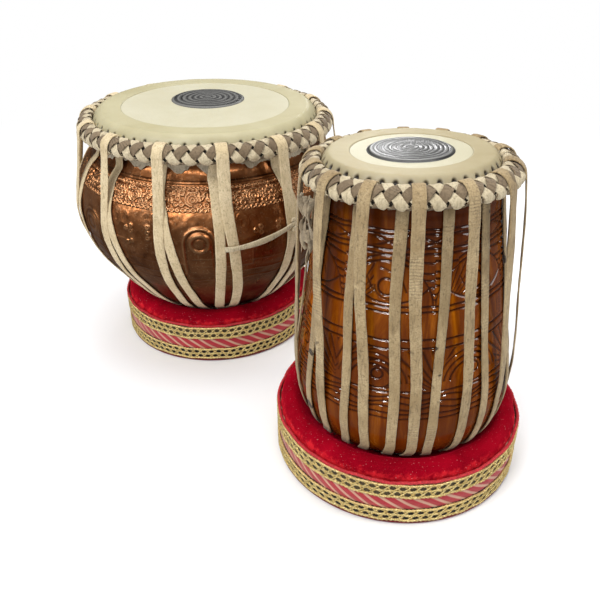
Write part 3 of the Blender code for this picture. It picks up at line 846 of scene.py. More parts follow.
def relief_band(angle, radius, z, run):
    """Chased band: beads, florets, C-scrolls and a scalloped foot."""
    x, y = angle * 130.0, run * 1000.0
    height = 0.0
    for count, *sizes, weight in BAND_LATTICES:
        height = np.maximum(height, weight * lattice(x, y, BAND_TURN / count, *sizes))
    cell = BAND_TURN / 28
    in_cell = (x + 0.5 * cell) % cell - 0.5 * cell
    index = np.floor((x + 0.5 * cell) / cell)
    scroll_x = 4.0 * (hash01(index, 3, 9) - 0.5)
    for ring_r, ring_y in ((7.0, 12.6), (4.3, 12.2), (1.9, 12.0)):
        distance = np.hypot(in_cell - scroll_x, (y - ring_y) * 1.05)
        arc = ridge(distance, ring_r, 0.80) * ((y - ring_y > -2.5) | (in_cell < scroll_x))
        height = np.where(distance < ring_r + 1.0, np.maximum(height * 0.75, arc), height)
    edge = smoothstep(0.0, 0.8, y) * (1 - smoothstep(25.2, 26.2, y))
    rim = ridge(y, 26.0, 0.8)
    push = (0.00105 * height - 0.00035 * (1 - height)) * edge + 0.0006 * rim
    tone = np.clip(0.32 + 0.62 * height * edge + 0.3 * rim, 0, 1)
    return push + hammered(angle, radius, z, 0.00006), tone


BELLY_BEADS = [(60, 11.5), (60, 6.2), (54.6, 8.6), (60, -4.0), (55, -6.0), (-50, 12.5),
               (-50, 7.2), (-50, 1.9)]      # x, y


def relief_bowl(angle, radius, z, run):
    """Low chasing on the belly: arches with a boss, petals, beads, panels and ring lines."""
    turn = within_panel(angle, -88.4)
    x, y = turn * 143.0, (z - 0.1625) * 1000.0
    arch = np.where(y > -1.5, np.abs(np.hypot(x, y + 1.5)), np.abs(x))
    inside = (arch < 15.5) & (y > -37)
    height = (1.50 * ridge(arch, 15.6, 1.25) - 0.90 * ridge(arch, 13.2, 0.9)
              + 0.3 * smoothstep(12.4, 11.0, arch)) * smoothstep(-38, -35, y)
    boss = np.hypot(x, y + 1.0)
    height = height + (1.0 * ridge(boss, 8.6, 1.7) - 0.8 * ridge(boss, 5.9, 0.9)
                       + 0.35 * smoothstep(5.4, 4.4, boss))
    for line_y in (-17.5, -26.5):
        height = height + 0.8 * ridge(y, line_y, 0.7) * smoothstep(10.8, 9.6, np.abs(x - 2))
    for line_y, weight in ((-23.0, 0.55), (-35.5, 0.8), (-46.0, 0.7)):
        wavy = line_y + 0.8 * np.sin(3 * turn / PANEL * TAU)
        height = height + weight * ridge(y, wavy, 0.75) * (~inside)
    # petals under the chased band
    for side in (-1, 1):
        for tall, wide in ((9.5, 6.0), (7.0, 4.2), (4.2, 2.4)):
            inner = np.hypot((x - side * 42) / wide, (y - 17.0) / (tall * 0.95))
            outer = np.hypot((x - side * 51) / wide, (y - 16.0) / (tall * 0.90))
            height = height + (0.55 * ridge(inner * wide, wide, 0.45)
                               + 0.45 * ridge(outer * wide, wide, 0.45))
    for bead_x, bead_y in BELLY_BEADS:
        height = height + 2.0 * ridge(np.hypot(x - bead_x, y - bead_y), 1.75, 0.70)
    box = np.maximum(np.abs(x - 38) - 13.5, np.abs(y + 15.5) - 12.0)
    height = height + 1.1 * ridge(box, 0, 0.75) + 0.5 * ridge(box, -2.4, 0.5)
    # veined leaf inside a plain and a dotted ring
    leaf = np.hypot(x + 33, y + 8.0)
    dots = 0.5 + 0.5 * np.cos(np.arctan2(y + 8.0, x + 33) * 26)
    window = (y > -22) & (x > -58) & (x < -20)
    height = height + 0.65 * (ridge(leaf, 14.0, 0.6) + ridge(leaf, 10.5, 0.8) * dots) * window
    veins = np.abs(np.sin(0.34 * (x + 33) + 0.42 * (y + 8)))
    height = height + 0.25 * ridge(veins, 0, 0.16) * (leaf < 9.5) * window
    points = polar(radius, angle, z)
    wear = 0.72 + 0.28 * noise(points * 42, 12)
    fade = smoothstep(-62, -52, y) * smoothstep(28.0, 26.0, y)
    swell = 0.25 * noise(points * 60, 14)
    push = (0.00115 * height * wear * fade + hammered(angle, radius, z, 0.00026)
            + 0.00018 * swell)
    return push, np.clip(0.50 + 0.30 * height * wear * fade + 0.10 * swell, 0, 1)


def relief_neck(angle, radius, z, run):
    ribs = ridge(np.abs(np.sin(angle * 44 + 2.0 * np.sin(angle * 5))), 0, 0.3)
    push = (hammered(angle, radius, z, 0.00012) + 0.0003 * ridge(z * 1000, 214.2, 0.6)
            + 0.00018 * ribs)
    return push, np.clip(0.50 + 0.12 * ribs - 0.4 * ridge(z * 1000, 215.2, 0.7), 0, 1)


def relief_underside(angle, radius, z, run):
    return hammered(angle, radius, z, 0.00018), 0.46


def bayan_shell():
    base = mount("bayan", "drum")
    patches = Patches()
    underside = [(radius, BAYAN_FOOT) for radius in (0.0006, 0.030, 0.062)]
    lathe(patches, np.concatenate([underside, section(BAYAN_OUT, 0.0452, 0.1000, 0.0022)]), 240,
          relief_underside)
    lathe(patches, section(BAYAN_OUT, 0.1000, 0.1908, 0.0010), 900, relief_bowl)
    patches.place(base, "bowl", COPPER, "copper", "shell")
    patches = Patches()
    lathe(patches, section(BAYAN_OUT, 0.1908, 0.2136, 0.00050), 1500, relief_band)
    lathe(patches, section(BAYAN_OUT, 0.2136, 0.2440, 0.0011), 600, relief_neck)
    patches.place(base, "chased_band", COPPER, "copper")


bayan_shell()


# ------------------------------------------------------------------ dayan shell
# Carved cuts run from 0 to 1 in depth; x, y, z and widths are millimetres.
def groove(distance, width):
    return ridge(distance, 0, 1.22 * width)


def arc_cut(x, y, centre_x, centre_y, radius, width):
    return groove(np.hypot(x - centre_x, y - centre_y) - radius, width)


def spokes(count, pitch, width):
    return groove((count - np.round(count)) * pitch, width)


def deepest(*cuts):
    return reduce(np.maximum, cuts)


def frieze(turn, z):
    """Two long leaves crossing between the upper ring lines."""
    zone = smoothstep(227.2, 228.4, z) * smoothstep(235.8, 234.6, z)
    leaves = [groove(z - (231.4 + 4.2 * np.sin(TAU * (turn / PANEL + phase))), 0.80)
              for phase in (0.0, 0.5)]
    return zone * 0.9 * deepest(*leaves)


def eye_panel(turn, x, z, from_side):
    """An eye under arches, with lines and curls at the sides."""
    y = z - 198.4
    eye = np.hypot(x, y)
    out = eye > 9.6
    lid = np.hypot(x, y + 16.0) - 35.5
    rays = np.arctan2(y + 20.0, x + 30.0) * 7.5
    cut = deepest(
        groove(eye - 6.3, 0.85),
        0.8 * groove(eye - 8.9, 0.55) * (y < 1),
        groove(lid, 0.85),
        0.8 * arc_cut(x, y, 9, 15.0, 26.0, 0.65) * out * (y < 6) * (x < 16),
        0.9 * arc_cut(x, y, 2, 30.0, 42.5, 0.75) * out * (y < 2),
        0.8 * arc_cut(x, y, -8, -10.0, 24.0, 0.65) * out * (y > -4) * (x > -6) * (lid < -1),
        0.75 * spokes(rays, 4.5, 0.62) * (x < -10) * (lid < -1.5) * (y > -8))
    lines = deepest(*(groove(z - line - 1.2 * np.sin(turn * 9 + 0.4), 0.75)
                      for line in (217.4, 209.6, 204.6, 199.4)))
    side = deepest(lines * (y > -1.5),
                   0.9 * arc_cut(from_side, y, 2, 12.0, 17.5, 0.7) * (y < 0),
                   0.9 * arc_cut(from_side, y, 2, 12.0, 21.5, 0.7) * (y < 0))
    middle = cut * (lid < 1.2) + arc_cut(x, y, 0, -10.0, 33.5, 0.7) * (lid >= 1.2)
    zone = smoothstep(184.6, 185.6, z) * smoothstep(221.8, 220.8, z)
    return zone * np.where((lid > 0) & (np.abs(x) > 17), side, middle)


def scroll_panel(x, z, from_side):
    """Lower panel: a scroll with fanned curves."""
    x, y = x + 3.0, z - 129.5
    scroll = np.hypot(x, y * 1.10)
    cut = deepest(groove(scroll - 4.2, 0.75),
                  groove(scroll - 12.5, 0.8) * (x > -6),
                  0.85 * arc_cut(x, y, 3, -3.0, 9.0, 0.65) * (x > -2),
                  *((0.95 - 0.12 * i) * arc_cut(x, y, -4, -9.0, radius, 0.75) * (y > -6)
                    for i, radius in enumerate((16.5, 21.0, 25.5))))
    fan = np.arctan2(y + 16.0, np.abs(from_side) + 4.0) * 5.2
    away = np.hypot(x + 4, y + 9.0) > 27.5
    zone = smoothstep(117.2, 118.4, z) * smoothstep(150.2, 149.2, z)
    return zone * deepest(cut * (~away), 0.8 * spokes(fan, 5.0, 0.7) * away)


def foot_band(angle, z):
    """Wavy lines, the middle ones stronger."""
    cuts = []
    for i, line in enumerate((116.0, 111.4, 106.8, 102.2, 97.4, 92.8)):
        swing = 1.5 if i in (1, 2, 3) else 0.45
        wavy = z - line - swing * np.sin(angle * 14 + 0.9 * i)
        cuts.append(groove(wavy, 0.75) * (0.95 - 0.06 * (i % 2)))
    return deepest(*cuts)


def relief_wood(angle, radius, z, run):
    turn = within_panel(angle, -108.5)
    x, height = turn * 80.0, z * 1000.0
    from_side = 40.0 - np.abs(x)                # distance from the middle of the side panel
    wobble = 0.40 * np.sin(angle * 9) + 0.25 * np.sin(angle * 23 + 1)
    rings = [groove(height + wobble - line, 0.75)
             for line in (240.0, 236.6, 226.4, 222.6, 183.8, 179.6, 158.0, 151.2)]
    cut = deepest(*rings, frieze(turn, height), eye_panel(turn, x, height, from_side),
                  scroll_panel(x, height, from_side), foot_band(angle, height))
    points = polar(radius, angle, z)
    swell = 0.00014 * noise(points * 38, 4)
    depth = 0.85 + 0.25 * noise(points * 55, 8)
    lip = np.clip(cut * 2.2, 0, 1) * (1 - cut)  # slightly raised lips beside the cuts
    return swell - 0.00125 * cut * depth + 0.00022 * lip, np.clip(cut * 1.1 - 0.05, 0, 1)


def relief_top(angle, radius, z, run):
    # tone here is painted shadow under the hoop, darkest at the top of the shell
    return 0.00012 * np.sin(z * 900), 0.30 * smoothstep(0.252, 0.262, z)


def dayan_shell():
    base = mount("dayan", "drum")
    for name, low, high, step, segments in (("foot", 0.0402, 0.0900, 0.0013, 360),
                                            ("low", 0.0900, 0.1500, 0.00068, 820),
                                            ("mid", 0.1500, 0.2050, 0.00068, 820),
                                            ("high", 0.2050, 0.2420, 0.00068, 820)):
        patches = Patches()
        if name == "foot":
            lathe(patches, [(radius, DAYAN_FOOT) for radius in (0.0006, 0.0300, 0.0650)], 360)
        lathe(patches, section(DAYAN_OUT, low, high, step), segments, relief_wood)
        if name == "high":
            lathe(patches, section(DAYAN_OUT, 0.2420, 0.2690, 0.0012), 300, relief_top)
        patches.place(base, "wood_" + name, WOOD, "lacquered_wood",
                      "shell" if name == "foot" else None)


dayan_shell()


# ------------------------------------------------------------------ drum tables
# Profile tables are (radius, height). Lacing offsets are (height, degrees).
BAYAN = SimpleNamespace(
    key="bayan", cells=56, start=math.radians(-77.5),       # plait cells, angle of the first
    # head
    rim=0.2532, outer_r=0.1166, roll=0.0086, play_r=0.0870, head_seed=5,
    patch_r=0.0387, patch_y=0.0185, patch_turns=6.5, paste=PASTE_MATTE,
    ring_skin=RING_WORN, ring_segments=840, hole_rise=0.0036, hole_mm=1.5, rim_darkening=0.16,
    skirt_z=0.2240, skirt_r=0.1143,
    # plaited hoop, from its inner edge over the top and down outside
    hoop=[(0.1179, 0.2460), (0.1188, 0.2480), (0.1212, 0.2488), (0.1250, 0.2480),
          (0.1288, 0.2455), (0.1309, 0.2418), (0.1311, 0.2385), (0.1290, 0.2362),
          (0.1245, 0.2352)],
    strand_width=0.0084, bulge=0.00105, hoop_seed=2,
    # lacing: over the hoop, down free of the shell, then along the shell below belly_z
    shell=BAYAN_OUT, hand=-1, strap=RAWHIDE, strap_width=0.0110, strap_seed=3,
    over=[(0.1173, 0.2400), (0.1172, 0.2462), (0.1185, 0.2499), (0.1222, 0.2514),
          (0.1265, 0.2505), (0.1307, 0.2478), (0.1333, 0.2436), (0.1341, 0.2395),
          (0.1346, 0.2340)],
    front=[(0.1369, 0.2200), (0.1405, 0.2000), (0.1436, 0.1830), (0.1462, 0.1660),
           (0.1450, 0.1500)],
    belly_z=0.139, low_z=0.0520, foot_z=BAYAN_FOOT, lower_ring_r=0.0450,
    # upward runs: usual offset, and runs that cross their neighbours
    offsets=[(0.045, 11.5), (0.060, 9.4), (0.085, 8.0), (0.112, 6.6), (0.138, 5.1),
             (0.165, 3.4), (0.206, 1.8), (0.219, 1.5)],
    crossed={
        0: [(0.050, -2.0), (0.060, -4.8), (0.085, -4.3), (0.140, -3.3), (0.180, -3.2),
            (0.206, -3.6), (0.219, -4.2)],
        1: [(0.045, 11.5), (0.060, 9.4), (0.085, 7.8), (0.112, 6.4), (0.138, 5.0),
            (0.160, 3.5), (0.185, 1.4), (0.206, -1.0), (0.219, -2.2)],
        2: [(0.045, 11.5), (0.060, 9.4), (0.085, 7.8), (0.112, 6.4), (0.138, 4.9),
            (0.165, 3.0), (0.185, 1.2), (0.206, -0.4), (0.219, -0.8)]},
    drift={0: (3.1, 0.0), 1: (-0.6, -0.4), 13: (0.5, 0.8)},     # degrees: down run, up run
    splay={0: 1.8},                                             # degrees, low on the down run
    top_z=0.2185, back=[(0.1174, 0.2290, 0.35), (0.1173, 0.2350, 0.8)],  # r, z, part of way home
    tones=(0.22, 0.35), up_width=0.97, full_width_z=0.20, blend_z=(0.2220, 0.2355))

DAYAN = SimpleNamespace(
    key="dayan", cells=42, start=math.radians(-93.9),
    rim=0.2732, outer_r=0.0671, roll=0.0046, play_r=0.0454, head_seed=8,
    patch_r=0.0328, patch_y=0.0, patch_turns=9.0, paste=PASTE_POLISHED,
    ring_skin=RING_TAN, ring_segments=640, hole_rise=0.0024, hole_mm=1.9, rim_darkening=0.32,
    skirt_z=0.2600, skirt_r=0.0649,
    hoop=[(0.0683, 0.2688), (0.0691, 0.2704), (0.0708, 0.2712), (0.0745, 0.2704),
          (0.0785, 0.2680), (0.0812, 0.2648), (0.0820, 0.2618), (0.0806, 0.2598),
          (0.0770, 0.2588)],
    strand_width=0.0074, bulge=0.00100, hoop_seed=6,
    shell=DAYAN_OUT, hand=1, strap=RAWHIDE_WORN, strap_width=0.0097, strap_seed=9,
    over=[(0.0676, 0.2630), (0.0677, 0.2690), (0.0690, 0.2722), (0.0720, 0.2735),
          (0.0758, 0.2729), (0.0802, 0.2704), (0.0832, 0.2664), (0.0843, 0.2625),
          (0.0852, 0.2560)],
    front=[(0.0868, 0.2400), (0.0881, 0.2200), (0.0894, 0.1900), (0.0908, 0.1600),
           (0.0926, 0.1300), (0.0931, 0.1050)],
    belly_z=0.090, low_z=0.0440, foot_z=DAYAN_FOOT, lower_ring_r=0.0400,
    offsets=[(0.040, -12.86), (0.254, -7.8)], crossed={},
    drift={0: (2.6, 4.2), 1: (2.0, -2.2), 2: (1.5, 0.8), 13: (3.9, 4.9), 12: (4.5, 4.5),
           11: (2.5, 2.5), 10: (1.0, 1.0)},
    splay={}, top_z=0.2530, back=[(0.0690, 0.2575, 0.1), (0.0676, 0.2610, 0.6)],
    tones=(0.30, 1.0), up_width=0.88, full_width_z=0.25, blend_z=(0.2480, 0.2590))


# ------------------------------------------------------------------ heads
def playing_skin(drum, base, top):
    def dish(angle, radius, z, run):
        return 0.00016 * layered_noise(polar(radius, angle, z) * 30, drum.head_seed, 3), 0.0

    patches = Patches()
    radii = np.linspace(drum.play_r + 0.004, 0.0008, 60)
    lathe(patches, np.stack([radii, np.full(60, top - 0.0007)], 1), 300, dish)
    patches.place(base, "playing_skin", PLAYING_SKIN, "skin", "maidan")


def ring_skin(drum, base, top):
    """Ring of skin rolled over the rim, with a row of holes."""
    rim, outer_r, roll, play_r, seed = (drum.rim, drum.outer_r, drum.roll, drum.play_r,
                                        drum.head_seed)
    pitch = TAU / drum.cells
    hole_z = rim - roll + drum.hole_rise

    def relief(angle, radius, z, run):
        points = polar(radius, angle, z)
        i = np.round((angle - drum.start) / pitch - 0.5)
        middle = (drum.start + (i + 0.5) * pitch
                  + 0.10 * (hash01(i % drum.cells, 1, seed) - 0.5) * pitch)
        x = (angle - middle) * outer_r * 1000
        y = (z - hole_z) * 1000 + 0.6 * (hash01(i % drum.cells, 2, seed) - 0.5)
        outer = radius > outer_r - 1.3 * roll
        # painted shade: the holes are darkened through the tone
        hole = np.exp(-((x / drum.hole_mm) ** 2 + (y / (1.3 * drum.hole_mm)) ** 2) ** 2) * outer
        pull = np.exp(-((x / 3.0) ** 2 + ((y - 1.0) / 3.6) ** 2)) * outer
        pleat = (0.00030 * np.cos((angle - drum.start) * drum.cells)
                 * smoothstep(rim, rim - roll, z) * outer)
        # darker towards the outer rolled edge of the ring
        rim_darkening = (drum.rim_darkening * smoothstep(outer_r - 1.9 * roll, outer_r, radius)
                 * (0.7 + 0.5 * noise(points * 90, seed + 5)))
        push = (0.00020 * layered_noise(points * 34, seed + 3, 3) - 0.0018 * hole
                - 0.0004 * pull - pleat)
        return push, np.clip(hole * 1.3 + 0.30 * ridge(radius, play_r, 0.0005) + rim_darkening, 0, 1)

    rolled = [(outer_r - 0.0005, rim - roll - 0.0080), (outer_r, rim - roll - 0.0020),
              (outer_r - 0.0002, rim - roll + 0.0015),
              (outer_r - 0.22 * roll, rim - 0.42 * roll + 0.0006),
              (outer_r - 0.58 * roll, rim - 0.10 * roll + 0.0014),
              (outer_r - 1.05 * roll, top - 0.0002), (outer_r - 1.5 * roll, top)]
    flat = [(r, top) for r in np.linspace(outer_r - 1.5 * roll - 0.004, play_r + 0.0020, 9)]
    edge = [(play_r + 0.0006, top - 0.0001), (play_r, top - 0.0008)]
    patches = Patches()
    lathe(patches, spline(rolled + flat + edge, 0.00062), drum.ring_segments, relief)
    patches.place(base, "ring_skin", drum.ring_skin, "ring_skin", "kinar")


def tuning_patch(drum, base, top):
    """Black patch built up of thin rings."""
    def rings(angle, radius, z, run):
        phase = radius / drum.patch_r * TAU * drum.patch_turns
        step = 1.25 * np.sin(phase + 0.5 * np.sin(3 * angle)) + 0.35 * np.sin(phase * 2.3)
        return 0.00010 * step, np.clip(0.42 + 0.55 * step, 0, 1)

    radii = np.linspace(drum.patch_r, 0.0006, 150)
    inward = 1 - radii / drum.patch_r
    heights = top - 0.0007 + (0.0004 + 0.0013 * smoothstep(0, 0.10, inward) + 0.0008 * inward)
    profile = np.concatenate([[(drum.patch_r + 0.0002, top - 0.0007)],
                              np.stack([radii, heights], 1)])
    patches = Patches()
    lathe(patches, profile, 240, rings, centre_y=drum.patch_y)
    patches.place(base, "tuning_patch", drum.paste, "tuning_paste", "syahi")


def skin_skirt(drum, base):
    """Frayed lower edge of the under skin."""
    segments, rows, seed = 720, 15, drum.head_seed
    angle = circle(segments)
    low = drum.skirt_z + 0.0012 + 0.0048 * layered_noise(polar(9, angle, 0), seed, 4)
    up = np.linspace(0, 1, rows)[:, None]
    z = low + (drum.rim - drum.roll - 0.001 - low) * up
    radius = (drum.skirt_r + 0.0018 * np.exp(-(z - low) / 0.0030)
              + 0.0006 * noise(polar(14, angle, z * 220), seed + 9) * (1 - up))
    radius = np.minimum(radius, drum.outer_r - 0.0004)
    outside, inside = polar(radius, angle, z), polar(radius - 0.0006, angle, z)[::-1]
    worn = 0.35 * np.exp(-((z - low) / 0.002))
    patches = Patches()
    patches.add(np.concatenate([inside, outside]), quads(2 * rows, segments),
                np.concatenate([worn[::-1], worn]))
    patches.place(base, "skin_skirt", FRINGE, "ring_skin", "under_skin")


def head(drum):
    base = mount(drum.key, "drum")
    top = drum.rim + 0.0030
    playing_skin(drum, base, top)
    ring_skin(drum, base, top)
    tuning_patch(drum, base, top)
    skin_skirt(drum, base)


# ------------------------------------------------------------------ plaited hoops
HOOP_SAMPLES = np.linspace(0, 1, 30)


def plait_strands(drum, base, line, out, name, hand, material, tone, replaces):
    """Strands that slant one way round the hoop, weaving over and under."""
    cell = TAU / drum.cells
    along = HOOP_SAMPLES / 0.86
    patches = Patches()
    for i in range(drum.cells):
        rand1, rand2, rand3 = (hash01(i, k, drum.hoop_seed) for k in (1, 2, 3))
        over = hand * np.cos(3 * math.pi * (along - 1 / 6))
        lift = ((drum.bulge * (over + 0.25) + 0.0002 * (rand1 - 0.5))
                * (0.35 + 0.65 * smoothstep(0.05, 0.30, HOOP_SAMPLES)))
        angle = (drum.start + i * cell + hand * 1.5 * cell * (along - 1 / 6)
                 + (0.10 * (rand2 - 0.5)) * cell)
        path = polar(line[:, 0] + out[:, 0] * lift, angle, line[:, 1] + out[:, 1] * lift)
        side = np.cross(polar(out[:, 0], angle, out[:, 1]), np.gradient(path, axis=0))
        width = (drum.strand_width * (0.72 + 0.28 * smoothstep(0.0, 0.22, HOOP_SAMPLES))
                 * (0.96 + 0.08 * rand3))
        ribbon(patches, path, -side, width, 0.0013, tone=tone + 0.5 * rand1 * (rand2 > 0.7),
               count=10, cup=0.05)
    patches.place(base, "plait_" + name, material, "plaited_hide", replaces)


def plait_folds(drum, base, path, line, out):
    """Diamond-shaped folds, one to a cell, low on the outside."""
    cell = TAU / drum.cells
    grid = np.array([-1, -0.96, -0.85, -0.5, 0, 0.5, 0.85, 0.96, 1])
    first, second = np.meshgrid(grid, grid, indexing="ij")
    wide, tall = 0.44 * cell * path[:, 0].max(), 0.0050
    patches = Patches()
    for i in range(drum.cells):
        rand1, rand2, rand3 = (hash01(i, k, drum.hoop_seed) - 0.5 for k in (11, 12, 13))
        x = (first + second) / 2 * wide * (1 + 0.10 * rand3)
        y = (first - second) / 2 * tall * (1 + 0.12 * rand1)
        x, y = x + 0.10 * rand2 * y, y - 0.10 * rand2 * x
        at = 0.735 + 0.02 * rand1 + y / arc_length(path)[-1]
        radius, z, out_r, out_z = (np.interp(at, HOOP_SAMPLES, column)
                                   for column in (*line.T, *out.T))
        lift = (0.0014 + drum.bulge * 0.9 + 0.0004 * (1 - first ** 2) * (1 - second ** 2)
                + 0.0005 * first + 0.0003 * second
                - 0.00050 * ridge(y / tall * 6, 0.6 * rand2, 1)
                - 0.0013 * np.maximum(np.abs(first), np.abs(second)) ** 12)
        angle = drum.start + i * cell + x / radius + 0.05 * rand2 * cell
        patches.add(polar(radius + out_r * lift, angle, z + out_z * lift),
                    quads(9, 9, False)[:, ::-1], 0.10 + 0.4 * (rand3 + 0.5))
    patches.place(base, "plait_fold", CREAM, "plaited_hide")


def hoop(drum):
    base = mount(drum.key, "hoop")
    path = spline(drum.hoop, 0.0006)
    line = resample(path, np.linspace(0, 1, len(path)), HOOP_SAMPLES)
    along = tangents(line)
    out = np.stack([-along[:, 1], along[:, 0]], 1)
    plait_strands(drum, base, line, out, "cream", 1, CREAM, 0.10, "gajra")
    plait_strands(drum, base, line, out, "taupe", -1, TAUPE, 0.15, None)
    plait_folds(drum, base, path, line, out)
    # core of the hoop in the dark shade material: painted shade between the strands
    core = offset_profile(path, 0.0012)
    inner = np.array([(core[-1, 0] - 0.0015, core[-1, 1] + 0.0014),
                      (core[0, 0] + 0.0012, core[-1, 1] + 0.0030),
                      (core[0, 0] + 0.0010, core[0, 1] - 0.0012)])
    patches = Patches()
    lathe(patches, np.concatenate([core, inner])[::-1], 280, closed=True)
    patches.place(base, "plait_core_shade", SHADE, "plaited_hide")


for build in (head, hoop):
    build(BAYAN)
    build(DAYAN)


# ------------------------------------------------------------------ lacing
RUNS = 14                   # strap runs down, and as many up
STRAP_THICK = 0.0015
RING_DROP = 0.0057          # lower ring's centre below the flat underside
RING_REACH = 0.0032 + 0.0006 + STRAP_THICK / 2  # ring centre to the strap round it


def lacing_stations(drum):
    """Stations of the strap: x, y, z, width factor, cosine and sine of angle, tone."""
    line = offset_profile(section(drum.shell, drum.low_z, drum.top_z, 0.0060),
                          0.0007 + STRAP_THICK / 2)
    under = drum.foot_z - 0.0012
    ring_r, ring_z = drum.lower_ring_r, drum.foot_z - RING_DROP
    tone_down, tone_up = drum.tones
    rows = []

    def put(radius, z, angle, width, tone=0.5):
        cos, sin = math.cos(angle), math.sin(angle)
        rows.append((radius * cos, radius * sin, z, width, cos, sin, tone))

    for i in range(RUNS):
        angle = drum.start + drum.hand * TAU / RUNS * i
        half = drum.hand * TAU / RUNS / 2
        after = angle + 2 * half
        rand = [float(hash01(i, k, drum.strap_seed)) - 0.5 for k in range(6)]
        stray = 0.010 * rand[0] * (0.13 / ring_r * 0.35)
        width = 1 + 0.14 * rand[1]
        slide = math.radians(drum.drift.get(i, (0, 0))[0])
        splay = math.radians(drum.splay.get(i, 0.0))
        # over the hoop and down the outside
        for radius, z in drum.over:
            put(radius, z, angle + stray, width, tone_down)
        for k, (radius, z) in enumerate(drum.front):
            put(radius + 0.0004 * rand[2], z,
                angle + stray * (1 - k / len(drum.front)) + slide * smoothstep(0.21, 0.12, z),
                width * (1 + 0.05 * rand[3]), tone_down)
        for radius, z in line[::-1]:
            if z < drum.belly_z:
                lean = slide * smoothstep(0.21, 0.12, z) + splay * smoothstep(0.14, 0.08, z)
                put(radius, z, angle + lean * smoothstep(0.045, 0.060, z),
                    width * (0.92 + 0.10 * (z - drum.low_z) / 0.1), tone_down)
        # round the lower ring
        put(ring_r + 0.012, under, angle, 0.72)
        put(ring_r, ring_z + RING_REACH, angle, 0.62)
        for k in (1, 2, 3, 4):
            round_ring = math.radians(90 + 36 * k)
            put(ring_r + (RING_REACH + 0.0008) * math.cos(round_ring),
                ring_z + RING_REACH * math.sin(round_ring), angle + half * k / 5, 0.62)
        put(ring_r, ring_z - RING_REACH, angle + half, 0.62)
        put(ring_r + 0.0068, ring_z - RING_REACH * 0.76, angle + half, 0.66)
        put(ring_r + 0.0150, under, angle + half, 0.80)
        # back up to the next place on the hoop
        width = drum.up_width + 0.10 * rand[5]
        arrive = (i + 1) % RUNS
        offsets = drum.crossed.get(arrive, drum.offsets)
        drift = drum.drift.get(arrive, (0, 0))[1]
        for radius, z in line:
            lean = drift * smoothstep(0.20, 0.10, z) * smoothstep(0.030, 0.065, z)
            offset = np.interp(z, *zip(*offsets))
            put(radius, z, after + math.radians(offset) + math.radians(lean) + 0.006 * rand[4],
                width, tone_up)
        top = after + math.radians(offsets[-1][1])
        for radius, z, part in drum.back:
            put(radius, z, top + (after - top) * part, width, tone_up)
    return np.array(rows)


def lacing(drum):
    """One endless strap from hoop to lower ring and back."""
    base = mount(drum.key, "drum")
    seed = drum.strap_seed
    loop = dense_curve(lacing_stations(drum), 10, closed=True)
    along = arc_length(loop[:, :3])
    count = int(along[-1] / 0.0026)
    at = np.arange(count) * along[-1] / count
    stations = resample(loop, along, at)
    z, factor, cos, sin, tone = stations[:, 2:].T
    spots = (at * 55)[:, None] * (1, 0, 0)
    twist = 0.10 * noise(spots, seed) * smoothstep(drum.low_z + 0.03, drum.low_z + 0.08, z)
    sideways, outward = np.stack([-sin, cos, 0 * at], 1), np.stack([cos, sin, 0 * at], 1)
    width = (drum.strap_width * factor
             * (1 + 0.035 * noise(spots * 1.7, seed + 1) + 0.02 * noise(spots * 6, seed + 2))
             * (0.90 + 0.10 * smoothstep(0.15, drum.full_width_z, z)))
    thick = STRAP_THICK * (1 + 0.10 * noise(spots * 2.6, seed + 3))
    patches = Patches()
    ribbon(patches, stations[:, :3], sideways + outward * twist[:, None], width, thick,
           closed=True, tone=tone, boxy=0.30)
    return patches.make(base, "strap", drum.strap)


def join_lacing(drum, strap):
    matrix = mount(drum.key, "drum").matrix
    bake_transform(strap)
    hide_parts(drum.key + "_baddhi")


def lower_ring(drum):
    """Rolled rawhide ring under the foot."""
    patches = Patches()
    cord(patches, polar(drum.lower_ring_r, circle(360), drum.foot_z - RING_DROP), 0.0030,
         twist=300.0, lobes=3, depth=0.08, count=12, tone=0.4)
    patches.place(mount(drum.key, "ring"), "lower_ring", RAWHIDE, "rawhide", "kundal")


def bayan_tie():
    """Short strap tied between two lacing straps, with its knot."""
    patches = Patches()
    part = np.linspace(0, 1, 60)
    bow = np.sin(np.pi * part)
    path = polar(0.1484 + 0.0012 * bow - 0.0012 * smoothstep(0.10, 0.0, part),
                 BAYAN.start + np.radians(-1.5 + 28.5 * part),
                 0.1565 + 0.0148 * part - 0.0022 * bow)
    ribbon(patches, path, (0, 0, 1), 0.0056 * (1 - 0.15 * np.sin(9 * part)), 0.0017, tone=0.05,
           count=10)
    knot_angle, knot_z = BAYAN.start + math.radians(27.6), 0.1708
    turn = circle(40)
    for k, (tilt, size, rise) in enumerate(((0.2, 0.0060, 0.0), (-0.5, 0.0052, 0.0022),
                                            (0.9, 0.0048, -0.0020))):
        path = polar(0.1478 + 0.0026 * np.sin(turn) + 0.0005 * k,
                     knot_angle + size * np.cos(turn) / 0.147,
                     knot_z + rise + 0.0022 * np.sin(turn + tilt)
                     + size * 0.55 * np.sin(tilt) * np.cos(turn))
        ribbon(patches, path, (0.2 * k, 0, 1), 0.0040, 0.0014, closed=True, tone=0.05, count=8)
    patches.place(mount("bayan", "drum"), "tie", CREAM, "rawhide", "tie_strap")


